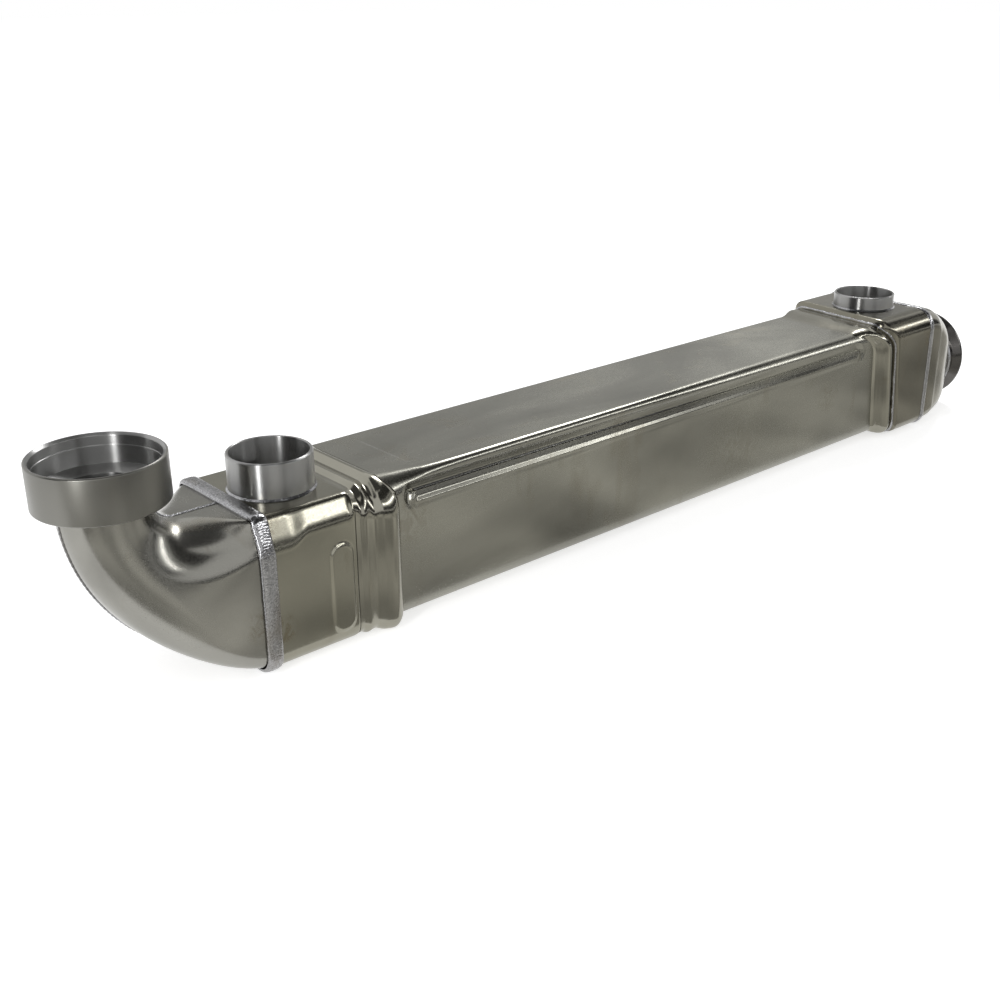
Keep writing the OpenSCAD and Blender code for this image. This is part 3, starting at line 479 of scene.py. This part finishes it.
# Elbow: its centre plane and its sections
ELBOW_TOP, ELBOW_LOW = TANK_A_TOP - 1, TANK_A_LOW + 1
BEND_Z = RING_LOW + 4 - 5.3
OUT_X, IN_X = RING_X - 25, RING_X + 25
BEND_RUN, BEND_DROP = ELBOW_X - OUT_X, BEND_Z - ELBOW_LOW
BEND_R = (BEND_RUN**2 + BEND_DROP**2) / (2 * BEND_RUN)
BEND_ANGLE = math.atan2(BEND_DROP, BEND_R - BEND_RUN)
THROAT_R = 14.0
THROAT_ARC = THROAT_R * math.pi / 2
THROAT_LEN = THROAT_ARC + ELBOW_X - IN_X - THROAT_R


def bend_outer(s):
    relief = 1.3 * math.sin(math.pi * s) / math.sqrt(2)
    return np.array([OUT_X + BEND_R * (1 - math.cos(BEND_ANGLE * s)) + relief,
                     BEND_Z - BEND_R * math.sin(BEND_ANGLE * s) + relief])


def bend_inner(s):
    d = s * THROAT_LEN
    a = min(d / THROAT_ARC, 1) * math.pi / 2
    return np.array([IN_X + THROAT_R * (1 - math.cos(a)) + max(d - THROAT_ARC, 0),
                     ELBOW_TOP + THROAT_R * (1 - math.sin(a))])


def bend_section(share_w, share_r, half_h, by):
    half_w = mix(50, 2 * TANK_A_HALF - 2, share_w) / 2 - by
    half_h = half_h - by
    full = np.array([half_w, half_h])
    low = np.array([10.0 - by, 10.0 - by])
    top = np.array([10.0 - by, 22.0 - by])
    back = np.array([4.0 - by, 4.0 - by])
    return [half_w, -half_h, half_h, mix(full, low, share_r), mix(full, top, share_r),
            share_r ** 3, mix(full, back, share_r)]


def elbow_net(by, steps=72):
    rows = []
    shares = [(-1.0, 0.0)] + [(0.0, s) for s in np.linspace(0, 1, steps)]
    for straight, s in shares:
        inner, outer = bend_inner(s), bend_outer(s)
        if straight < 0:
            inner, outer = np.array([IN_X, RING_LOW + 4]), np.array([OUT_X, RING_LOW + 4])
        w = float(smooth(s)) ** 1.3
        r = float(smooth(s)) ** 2.1
        span = inner - outer
        half_h = np.linalg.norm(span) / 2
        up = span / (2 * half_h)
        middle = (inner + outer) / 2
        p = section(bend_section(w, r, half_h, by))
        rows.append(np.stack(
            [middle[0] + p[:, 1] * up[0], p[:, 0], middle[1] + p[:, 1] * up[1]], 1))
    return np.array(rows)


points, faces = wall(elbow_net(0), elbow_net(DUCT_WALL))
make("elbow_body", points, faces, steel_elbow,
     ["elbow_shell_front", "elbow_shell_back"])


def seam_bead(name, edge, other, flip):
    """Thin raised bead in the centre plane along the elbow's inner or outer edge."""
    rows = []
    for s in np.linspace(0, 1, 160):
        a, b = edge(s), other(s)
        if a[0] > ELBOW_X - 4.5 or a[1] > RING_LOW - 1.6:
            continue
        out = (a - b) / np.linalg.norm(a - b)
        wave = 0.12 * math.sin(s * 300)
        t = np.linspace(0, math.pi, 9)
        y = np.concatenate([-0.6 * np.cos(t), [0.6, -0.6]])
        h = np.concatenate([(0.8 + wave) * np.sin(t) ** 0.7, [-1.9, -1.9]])
        rows.append(np.stack([a[0] + out[0] * h, y, a[1] + out[1] * h], 1))
    rows = np.array(rows)
    r, c = rows.shape[:2]
    faces = net_faces(r, c, 0, True, flip)
    faces += [tuple(range(c)), tuple((r - 1) * c + j for j in range(c))]
    return make(name, rows.reshape(-1, 3), faces, steel_weld, ["elbow_seam_weld"])


seam_bead("elbow_seam_top", bend_inner, bend_outer, False)
seam_bead("elbow_seam_low", bend_outer, bend_inner, True)


# Weld beads with ripples and spatter
def weld(name, x, half, proud, base, foot, seed, nodes, ripple=1.7, depth=0.22, rows=22,
         wobble=0.4, limit=2.0, lean=None):
    """Bead round a section at x, never prouder than limit. base gives the section along X."""
    u = np.linspace(-1, 1, rows)
    outline = section(base(x))
    step = np.linalg.norm(np.diff(np.vstack([outline, outline[:1]]), axis=0), axis=1)
    arc = np.concatenate([[0], np.cumsum(step)])[:-1]
    fine = np.arange(0, arc[-1] + step[-1], 0.55)
    rings = []
    for v in u:
        o = section(base(x + half * v))
        arc_o = np.append(arc, arc[-1] + step[-1])
        closed = np.vstack([o, o[:1]])
        y = np.interp(fine, arc_o, closed[:, 0])
        z = np.interp(fine, arc_o, closed[:, 1])
        rings.append(np.stack([np.full(len(fine), x + half * v), y, z], 1))
    rings = np.array(rings)
    if lean is not None:
        rings[..., 0] += lean(rings[0][:, 1:])[None]
    out = normals(rings, True)
    out[..., 0] = 0
    out /= np.maximum(np.linalg.norm(out, axis=2, keepdims=True), 1e-9)
    uu, ss = np.meshgrid(u, fine, indexing="ij")
    lump = value_noise(rings, seed, 5.0)
    grit = value_noise(rings, seed + 3, 1.3)
    crown = np.clip(1 - np.abs(uu) ** 2.4, 0, 1) ** 0.6
    phase = ss / ripple + 0.9 * uu**2 + 0.5 * lump
    wave = np.abs(np.sin(np.pi * phase)) * 2 - 1
    rise = proud * crown * (1 + 0.18 * lump) + depth * (wave + 0.7 * grit) * crown
    rise = limit * np.tanh(rise / limit)
    outer = rings + out * (rise + 0.1)[..., None]
    outer[..., 0] += wobble * value_noise(np.stack([ss, ss * 0, ss * 0], -1), seed + 5, 6.0) * uu
    inner = rings - out * foot
    points, faces = wall(outer, inner)
    return make(name, points, faces, steel_weld, nodes, sharp=60)


weld("outlet_weld_bead", ELBOW_X + 0.5, 5.0, 1.9, lambda x: tank_a(23.0, 1.0, 10.5), 0.9, 3,
     ["outlet_end_weld"])


# Outlet tank
def tank_a_at(x, by=0.0):
    along = x - TANK_A0
    step = float(smooth((along - 13) / 12))
    end = float(smooth((along - 51.5) / 4.5))
    h = mix(mix(23.0, 16.3, step), 13.0, end)
    w = mix(mix(10.5, 8.5, step), 11.0, end)
    fall = 1.6 * (1 - math.sqrt(1 - min(max((along - 54.5) / 2.0, 0), 1) ** 2))
    return shrunk(tank_a(h, 1 - 0.9 * end, w), by + fall)


xs = np.linspace(TANK_A0, TANK_A1, 90)
outer = net(xs, [tank_a_at(x) for x in xs])
inner = net(xs, [tank_a_at(x, DUCT_WALL) for x in xs])
# The pad on its front: a stadium that stands a little proud
pad_x, pad_low, pad_high, pad_r, pad_proud = (
    TANK_A1 - 11.5, TANK_A_TOP - 83, TANK_A_TOP - 27, 7.75, 1.2)
pad_mid, pad_straight = (pad_low + pad_high) / 2, (pad_high - pad_low) / 2 - pad_r
gap_z = np.maximum(np.abs(outer[..., 2] - pad_mid) - pad_straight, 0)
inside = pad_r - np.hypot(outer[..., 0] - pad_x, gap_z)
front = outer[..., 1] < -TANK_A_HALF + 0.01
outer[..., 1] -= np.where(front, pad_proud * smooth(inside / 2.0 + 0.35), 0)
points, faces = wall(outer, inner)
outlet_tank = make("outlet_tank_body", points, faces, steel_tank, ["outlet_tank"])
cut_hole(outlet_tank, PORT_A, PORT_HOLE_R, TANK_A_TOP - 6, TANK_A_TOP + 4)

# Collar beside the outlet tank: places along X on its top, corners and sides, then its
# half width, bottom, top and the radii of its front and back edges
COLLAR_A = np.array([
    [-678.0, -678.0, -678.0, 42.6, -38.0, 53.4, 12.0, 5.0],
    [-674.0, -674.4, -675.0, 42.5, -37.9, 53.2, 14.5, 5.5],
    [-669.0, -670.2, -671.0, 43.7, -39.0, 55.4, 18.5, 6.5],
    [-662.6, -664.8, -665.6, 43.1, -38.6, 53.2, 18.0, 6.0],
    [-658.4, -659.8, -659.2, 45.5, -40.4, 56.7, 22.0, 8.0],
    [-656.8, -656.4, -653.6, 46.6, -41.0, 56.9, 23.0, 8.0],
    [-655.4, -653.2, -648.9, 44.9, -39.4, 56.5, 20.0, 6.0],
    [-653.7, -650.4, -646.0, 41.6, -35.4, 55.7, 15.5, 4.5],
    [-651.5, -648.6, -644.8, 39.5, -33.5, 54.4, 11.0, 3.0],
    [-644.0, -642.0, -640.0, 39.4, -33.4, 54.4, 8.0, 2.5]])


SOFTENING = 11.0


def turn(outline):
    """Shares of top and of corner for each point of an outline, softened along it."""
    step = np.gradient(outline, axis=0)
    angle = np.arccos(np.clip(step[:, 0] / np.maximum(np.hypot(*step.T), 1e-9), -1, 1))
    side = np.clip(angle / (math.pi / 2), 0, 1)
    arc = np.concatenate([[0], np.cumsum(np.hypot(*np.diff(outline, axis=0).T))])
    weight = np.exp(-((arc[:, None] - arc[None]) / SOFTENING) ** 2) * np.gradient(arc)[None]
    side = (weight * side[None]).sum(1) / weight.sum(1)
    return 1 - smooth(side), np.sin(math.pi * side) ** 2


def swept(top, corner_x, side, outline):
    """Place along X of each point of an outline."""
    up, bent = turn(outline)
    x = mix(side, top, up)
    return x + bent * (corner_x - (top + side) / 2)


s = np.linspace(0, len(COLLAR_A) - 1, 136)
keys = [curve(np.arange(len(COLLAR_A)), COLLAR_A[:, k], s) for k in range(8)]
outer, inner = [], []
for top_x, corner_x, side_x, half, low, top, fr, bk in zip(*keys):
    shape = sec(half, low, top, 9, fr, 0, bk)
    place = swept(top_x, corner_x, side_x, section(shape))[:, None]
    outer.append(np.concatenate([place, section(shape)], 1))
    inner.append(np.concatenate([place, section(shrunk(shape, SHEET))], 1))
points, faces = wall(np.array(outer), np.array(inner))
make("outlet_collar_pressed", points, faces, steel_collar, ["outlet_collar"])

# Collar beside the inlet tank: places along X on its top, corners and sides, and how far it
# has grown from the casing to the tank
COLLAR_B = np.array([
    [-180.6, -171.0, -151.0, -0.02, 0.02], [-179.8, -170.0, -150.2, 0.0, 0.02],
    [-176.0, -166.0, -147.6, 0.12, 0.04], [-171.0, -161.0, -145.2, 0.42, 0.06],
    [-165.0, -156.0, -142.0, 0.84, 0.08], [-158.5, -150.6, -138.0, 1.13, 0.10],
    [-151.0, -144.6, -134.4, 1.03, 0.11], [-145.5, -139.9, -131.4, 0.8, 0.11]])
COLLAR_FOOT = sec(CASING_HALF - 0.1, CASING_LOW + 0.1, CASING_TOP - 0.1, 6, 9.4, 0, 3.4)
LEAN, SKEW = -0.12, 0.11
# Places along X on the top, the corners and the sides, where the pieces end
CASING_END_A, CASING_END_B = (-653.9, -651.4, -646.4), (-179.7, -169.9, -150.1)
BEAD_B, TANK_B_START = (-145.1, -139.6, -130.8), (-145.3, -139.7, -131.0)


def leaning(top, corner_x, side, outline, skew=SKEW):
    """Like swept, leaning with the height on the sides and running askew on the top."""
    up = turn(outline)[0]
    shift = LEAN * (1 - up) * outline[:, 1] + skew * up * outline[:, 0]
    return swept(top, corner_x, side, outline) + shift


s = np.linspace(0, len(COLLAR_B) - 1, 100)
keys = [curve(np.arange(len(COLLAR_B)), COLLAR_B[:, k], s) for k in range(5)]
outer, inner = [], []
for top_x, corner_x, side_x, grown, skew in zip(*keys):
    shape = blended(COLLAR_FOOT, TANK_B_END, grown)
    place = leaning(top_x, corner_x, side_x, section(shape), skew)[:, None]
    outer.append(np.concatenate([place, section(shape)], 1))
    inner.append(np.concatenate([place, section(shrunk(shape, SHEET))], 1))
points, faces = wall(np.array(outer), np.array(inner))
make("inlet_collar_pressed", points, faces, steel_collar, ["inlet_collar"])


# Casing: two shells that lap in a channel along each side
CHANNEL_R, DENT, NOSE = 8.5, 2.6, -0.8
CREASE_0, CREASE_PITCH, CREASE_DEPTH = CASING_A + 23.8, 79.3, 0.4
UPPER_Z = [SEAM_Z, 44.5, 46.5, 48.5, 50.3, 51.3, 52.2]
UPPER_DEPTH = [3.4, 3.3, 2.7, 1.7, 0.55, 0.12, 0]
LOWER_Z = [RIB_LOW, 33.2, 34.4, 35.6, 36.9, 38.2, 39.6, 41.4, SEAM_Z]
LOWER_DEPTH = [0, -0.1, -0.45, -0.78, -0.75, -0.1, 0.7, 1.2, 1.6]
EDGE_X = [CASING_A, CASING_A + 10, CASING_A + 32, CASING_A + 60, -480, -330, CASING_B]
EDGE_R = [13.5, 10.5, 5.0, 4.0, 4.0, 7.0, 9.5]


def side_depth(x, z):
    """How far the casing's side lies inside its flat face, at places along X and heights Z."""
    mid_x, mid_z = (CHANNEL_X0 + CHANNEL_X1) / 2, (CHANNEL_TOP + RIB_LOW) / 2
    half_x, half_z = (CHANNEL_X1 - CHANNEL_X0) / 2, (CHANNEL_TOP - RIB_LOW) / 2
    qx, qz = np.abs(x - mid_x) - (half_x - CHANNEL_R), np.abs(z - mid_z) - (half_z - CHANNEL_R)
    beyond = np.hypot(np.maximum(qx, 0), np.maximum(qz, 0))
    plate = beyond + np.minimum(np.maximum(qx, qz), 0) - CHANNEL_R
    rib_r = (SEAM_Z - RIB_LOW) / 2
    rib_mid = (SEAM_Z + RIB_LOW) / 2
    rx = np.maximum(np.abs(x - mid_x) - ((RIB_X1 - RIB_X0) / 2 - rib_r), 0)
    rib = np.hypot(rx, z - rib_mid) - rib_r
    upper = curve(UPPER_Z, UPPER_DEPTH, z)
    lower = curve(LOWER_Z, LOWER_DEPTH, z)
    fade = smooth(-plate / 7.0)
    dent = DENT * fade * smooth((rib + 0.4) / 3.0)
    nose = smooth(-rib / 1.6)
    below = np.where(rx > 0, mix(dent, NOSE, nose), np.where(z < SEAM_Z, lower, upper))
    blend_nose = smooth(rx / 4.0)
    below = mix(np.where(z < SEAM_Z, lower, upper), below, blend_nose)
    above = upper * smooth((half_x - np.abs(x - mid_x)) / 9.0)
    return np.where(z < SEAM_Z, below, above) * mix(1, 0.6, smooth((x + 580) / 330))


def casing_places():
    ends = np.linspace(0, 1, 56) * 24
    middle = np.linspace(CASING_A + 24, CASING_B - 28, 70)
    return np.unique(np.concatenate([CASING_A + ends, middle, CASING_B - ends * 28 / 24]))


def casing_shell(name, upper, mat, node):
    if upper:
        z_side = np.linspace(SEAM_Z, 52.5, 30)
        c1 = corner(-CASING_HALF + 3.5, CASING_TOP - 3.5, 3.5, 3.5, 180, 10)
        top = np.stack([line(c1[-1][0], -c1[-1][0], 60), np.full(59, CASING_TOP)], 1)
        half = np.concatenate([np.stack([np.full(29, -CASING_HALF), z_side[:-1]], 1), c1])
        outline = np.concatenate([half, top, (half * [-1, 1])[::-1]])
    else:
        z_side = np.concatenate([np.linspace(CASING_LOW + 6, RIB_LOW - 1, 24)[1:],
                                 np.linspace(RIB_LOW, SEAM_Z, 40)])
        c1 = corner(-CASING_HALF + 6, CASING_LOW + 6, 6, 6, 270, 12)
        low = np.stack([line(-c1[0][0], c1[0][0], 40), np.full(39, CASING_LOW)], 1)
        half = np.concatenate([c1, np.stack([np.full(len(z_side), -CASING_HALF), z_side], 1)])
        outline = np.concatenate([(half * [-1, 1])[::-1], low, half])
    xs = casing_places()
    outer = np.array([at_x(x, outline) for x in xs])
    end_a = swept(*CASING_END_A, outline) - CASING_A
    flat = np.abs(np.abs(outer[..., 1]) - CASING_HALF) < 1e-6
    depth = side_depth(outer[..., 0], outer[..., 2])
    outer[..., 1] -= np.sign(outer[..., 1]) * np.where(flat, depth, 0)
    if upper:
        on_top = np.abs(outer[..., 2] - CASING_TOP) < 1e-6
        share = (outer[..., 0] - CREASE_0) / CREASE_PITCH
        away = np.abs(share - np.round(share)) * CREASE_PITCH
        inside = np.clip((26 - np.abs(outer[..., 1])) / 3, 0, 1)
        outer[..., 2] -= np.where(
            on_top, CREASE_DEPTH * inside * np.exp(-(away / 0.9) ** 2), 0)
    end_b = leaning(*CASING_END_B, outline, 0.02) - CASING_B
    fade_b = smooth(1 - (CASING_B - xs) / 50)[:, None]
    outer[..., 0] += fade_b * end_b[None]
    fade = 1 - smooth((xs - CASING_A) / 27)[:, None]
    r = curve(EDGE_X, EDGE_R, xs)[:, None]
    v = np.stack([-outer[..., 1] - (CASING_HALF - r), outer[..., 2] - (CASING_TOP - r)], 2)
    far = np.maximum(np.linalg.norm(v, axis=2), 1e-6)
    pull = np.where((v.min(axis=2) > 0) & (far > r), r / far, 1)
    outer[..., 1] = np.where(pull < 1, -(CASING_HALF - r) - v[..., 0] * pull, outer[..., 1])
    outer[..., 2] = np.where(pull < 1, CASING_TOP - r + v[..., 1] * pull, outer[..., 2])
    outer[..., 0] += fade * end_a[None]
    n = normals(outer, False)
    inner = outer - n * SHEET * 0.98
    points, faces = wall(outer, inner, closed=False)
    return make(name, points, faces, mat, [node], sharp=40)


casing_shell("casing_upper_pressed", True, steel_casing, "casing_upper_shell")
casing_shell("casing_lower_pressed", False, steel_casing, "casing_lower_shell")


# Inlet tank
NOSE_T = np.array([0, 0.3, 0.65, 1])
NOSE_S = np.array([0, 0.55, 0.9, 1])


def tank_b_at(x, by=0.0):
    share = float(curve(NOSE_T * 4, NOSE_S, min(x - TANK_B0, 4)))
    return shrunk(blended(TANK_B_END, TANK_B_FULL, share), by)


def tank_b_net(by):
    rows = net(xs, [tank_b_at(x, by) for x in xs])
    shift = leaning(*TANK_B_START, section(TANK_B_FULL)) - TANK_B0
    rows[..., 0] += shift[None] * (1 - smooth((xs - TANK_B0) / 42))[:, None]
    return rows


xs = np.concatenate([np.linspace(TANK_B0, TANK_B0 + 4, 14), np.linspace(TANK_B0 + 5, TANK_B1, 50)])
points, faces = wall(tank_b_net(0), tank_b_net(DUCT_WALL))
inlet_tank = make("inlet_tank_body", points, faces, steel_inlet, ["inlet_tank"])
cut_hole(inlet_tank, PORT_B, PORT_HOLE_R, TANK_B_TOP - 9, TANK_B_TOP + 4)

weld("inlet_collar_bead", TANK_B0 + 0.3, 1.0, 1.0, lambda x: blended(TANK_B_END, TANK_B_FULL, 0.1),
     0.2, 11, ["inlet_collar_weld"], ripple=1.5, depth=0.2, rows=12, wobble=0.2,
     lean=lambda ring: leaning(*BEAD_B, ring) - TANK_B0)
weld("inlet_end_bead", DIFFUSER_X - 1.5, 2.4, 0.9, lambda x: TANK_B_FULL, 0.5, 17,
     ["inlet_end_weld"], ripple=1.5, depth=0.15, rows=14, wobble=0.2, limit=0.95)

# Diffuser: its share of the way along, then the shares of its sides and of its top
DIFFUSER = np.array([
    [0, 0, 0], [0.12, 0.02, 0.04], [0.24, 0.05, 0.1], [0.3, 0.09, 0.16], [0.4, 0.15, 0.25],
    [0.5, 0.22, 0.35], [0.6, 0.33, 0.47], [0.7, 0.49, 0.61], [0.8, 0.68, 0.77],
    [0.9, 0.87, 0.91], [1, 1, 1]])


def diffuser_at(t, by):
    wide = shrunk(TANK_B_FULL, 1)
    neck = 33.4
    narrow = sec(neck, -neck, neck, neck - 0.1, neck - 0.1, 0, neck - 0.1)
    a = float(curve(DIFFUSER[:, 0], DIFFUSER[:, 1], t))
    b = float(curve(DIFFUSER[:, 0], DIFFUSER[:, 2], t))
    return shrunk([mix(wide[i], narrow[i], b if i in (2, 4, 6) else a) for i in range(7)], by)


ts = np.linspace(0, 1, 90)
xs = DIFFUSER_X + DIFFUSER_LEN * ts
outer = net(xs, [diffuser_at(t, 0) for t in ts])
inner = net(xs, [diffuser_at(t, DUCT_WALL) for t in ts])
points, faces = wall(outer, inner)
make("inlet_diffuser_body", points, faces, steel_inlet, ["inlet_diffuser"])

# Clamp flange
lathe("clamp_flange_turned", rounded([
    (31, -14), (33.5, -14), (33.5, -8), (39, -3), (39, -0.6), (38.4, 0), (31, 0)], 0.3),
    (0, 0, 0), True, steel_flange_shade_dark, ["inlet_clamp_flange"])

# Solids that keep their own shape
for name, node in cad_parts.items():
    mat = steel_core
    if name.endswith("weld") or name.startswith("casing_seam"):
        mat = steel_weld
    node.data.materials.clear()
    node.data.materials.append(mat)
    node.data.shade_smooth()
    node.data.set_sharp_from_angle(angle=math.radians(25))

# Camera at the photograph's viewpoint
CAMERA_PLACE = (-1.0483, -0.5875, 0.3206)
CAMERA_ANGLES = (22.47, 48.62, -0.27)
pitch, yaw, roll = (math.radians(v) for v in CAMERA_ANGLES)
level = math.cos(pitch)
forward = Vector((level * math.cos(yaw), level * math.sin(yaw), -math.sin(pitch)))
right = Vector((math.sin(yaw), -math.cos(yaw), 0))
up = right.cross(forward)
turned_right = math.cos(roll) * right + math.sin(roll) * up
turned_up = math.cos(roll) * up - math.sin(roll) * right
lens = bpy.data.cameras.new("camera")
lens.lens, lens.sensor_width = 44.92, 36
lens.clip_start, lens.clip_end = 0.01, 50
camera = bpy.data.objects.new("camera", lens)
camera.matrix_world = Matrix((turned_right, turned_up, -forward)).transposed().to_4x4()
camera.location = Vector(CAMERA_PLACE)
bpy.context.scene.collection.objects.link(camera)
bpy.context.scene.camera = camera

# Floor, backdrop, lamps and studio cards. The camera sees plain white behind the cooler.
WORLD_LIGHT, FLOOR_SEEN = 0.5, 0.61


def seen_share(nt):
    """1 for camera, glossy and transmission rays, 0 for the rays that carry light."""
    path = nt.nodes.new("ShaderNodeLightPath")
    total = path.outputs["Is Camera Ray"]
    for name in ("Is Glossy Ray", "Is Transmission Ray"):
        node = nt.nodes.new("ShaderNodeMath")
        node.operation = "MAXIMUM"
        nt.links.new(total, node.inputs[0])
        nt.links.new(path.outputs[name], node.inputs[1])
        total = node.outputs[0]
    return total


def background(nt, output, lit, seen_strength):
    glow = nt.nodes.new("ShaderNodeEmission" if lit else "ShaderNodeBackground")
    glow.inputs[0].default_value = (1, 1, 1, 1)
    strength = nt.nodes.new("ShaderNodeMapRange")
    strength.inputs[3].default_value = 0 if lit else WORLD_LIGHT
    strength.inputs[4].default_value = seen_strength
    nt.links.new(seen_share(nt), strength.inputs[0])
    nt.links.new(strength.outputs[0], glow.inputs[1])
    if lit:
        both = nt.nodes.new("ShaderNodeAddShader")
        nt.links.new(lit, both.inputs[0])
        nt.links.new(glow.outputs[0], both.inputs[1])
        glow = both
    nt.links.new(glow.outputs[0], output)


bpy.ops.mesh.primitive_plane_add(size=30, location=(-0.4, 0, cad_box[0][2] - 0.0002))
floor = bpy.context.object
floor.name = "floor"
paper = bpy.data.materials.new("floor_paper")
paper.use_nodes = True
paper_bsdf = paper.node_tree.nodes["Principled BSDF"]
paper_bsdf.inputs["Base Color"].default_value = (0.8, 0.8, 0.8, 1)
paper_bsdf.inputs["Roughness"].default_value = 0.9
paper_bsdf.inputs["Specular IOR Level"].default_value = 0
paper_out = paper.node_tree.nodes["Material Output"]
background(paper.node_tree, paper_out.inputs[0], paper_bsdf.outputs[0], FLOOR_SEEN)
floor.data.materials.append(paper)

world = bpy.data.worlds.new("world")
bpy.context.scene.world = world
world.use_nodes = True
world.node_tree.nodes.clear()
world_out = world.node_tree.nodes.new("ShaderNodeOutputWorld")
background(world.node_tree, world_out.inputs[0], None, 1.0)


def aim(obj, place, target):
    obj.location = place
    obj.rotation_euler = (Vector(target) - Vector(place)).to_track_quat("-Z", "Y").to_euler()


def lamp(name, place, target, size, power):
    data = bpy.data.lights.new(name, "AREA")
    data.shape, data.size, data.size_y, data.energy = "RECTANGLE", size[0], size[1], power
    obj = bpy.data.objects.new(name, data)
    aim(obj, place, target)
    bpy.context.scene.collection.objects.link(obj)


def card(name, place, target, size, tone, clouds=0.0):
    """Studio card that only reflections see, evenly toned or clouded."""
    bpy.ops.mesh.primitive_plane_add(size=1)
    obj = bpy.context.object
    obj.name = name
    obj.scale = (*size, 1)
    aim(obj, place, target)
    mat = bpy.data.materials.new(name)
    mat.use_nodes = True
    nt = mat.node_tree
    nt.nodes.clear()
    glow = nt.nodes.new("ShaderNodeEmission")
    glow.inputs[0].default_value = (*tone, 1)
    if clouds:
        where = nt.nodes.new("ShaderNodeNewGeometry")
        tex = nt.nodes.new("ShaderNodeTexNoise")
        tex.inputs["Scale"].default_value = 9
        nt.links.new(where.outputs["Position"], tex.inputs[0])
        level = nt.nodes.new("ShaderNodeMapRange")
        for k, v in enumerate((0.35, 0.65, 1 - clouds, 1 + clouds)):
            level.inputs[k + 1].default_value = v
        nt.links.new(tex.outputs[0], level.inputs[0])
        nt.links.new(level.outputs[0], glow.inputs[1])
    nt.links.new(glow.outputs[0], nt.nodes.new("ShaderNodeOutputMaterial").inputs[0])
    obj.data.materials.append(mat)
    obj.visible_camera = obj.visible_diffuse = obj.visible_shadow = False
    obj.visible_transmission = False


# Each place is a direction from the middle of the cooler: azimuth from +X, elevation, distance
MIDDLE = (-0.45, 0.0, 0.02)


def around(azimuth, elevation, distance):
    a, e = math.radians(azimuth), math.radians(elevation)
    return (MIDDLE[0] + distance * math.cos(e) * math.cos(a),
            MIDDLE[1] + distance * math.cos(e) * math.sin(a), MIDDLE[2] + distance * math.sin(e))


lamp("lamp_top_right", around(27, 47, 2.6), MIDDLE, (0.8, 0.6), 26)
lamp("lamp_front", around(-50, 21, 2.6), MIDDLE, (3.6, 0.14), 14)
lamp("lamp_left", (-1.32, -0.33, 0.22), (-0.75, 0, 0.03), (0.06, 0.5), 2.2)
CARD_FLOOR = cad_box[0][2] + 0.001
card("card_front_low", around(-50, 8, 2.7), MIDDLE, (4.8, 0.62), (0.035, 0.035, 0.035))
card("card_front_mid", around(-50, 29, 2.6), MIDDLE, (4.8, 0.4), (0.26, 0.26, 0.25))
card("card_front_high", around(-50, 48, 2.6), MIDDLE, (4.8, 1.25), (0.05, 0.05, 0.048))
card("card_back", around(50, 20, 2.8), MIDDLE, (4.0, 1.7), (0.48, 0.48, 0.47), 0.3)
card("card_left", around(185, 25, 2.4), MIDDLE, (3.0, 2.4), (0.06, 0.06, 0.065))
card("card_ceiling", (-0.45, -0.1, 2.1), MIDDLE, (2.4, 2.0), (0.1, 0.1, 0.1))
card("card_floor_near", (-0.45, -0.25, CARD_FLOOR), (-0.45, -0.25, 1), (3.2, 0.38),
     (0.62, 0.61, 0.57), 0.45)
card("card_floor_far", (-0.45, -1.44, CARD_FLOOR), (-0.45, -1.44, 1), (5.0, 2.0),
     (0.06, 0.06, 0.06))

bpy.context.scene.view_settings.view_transform = "Standard"
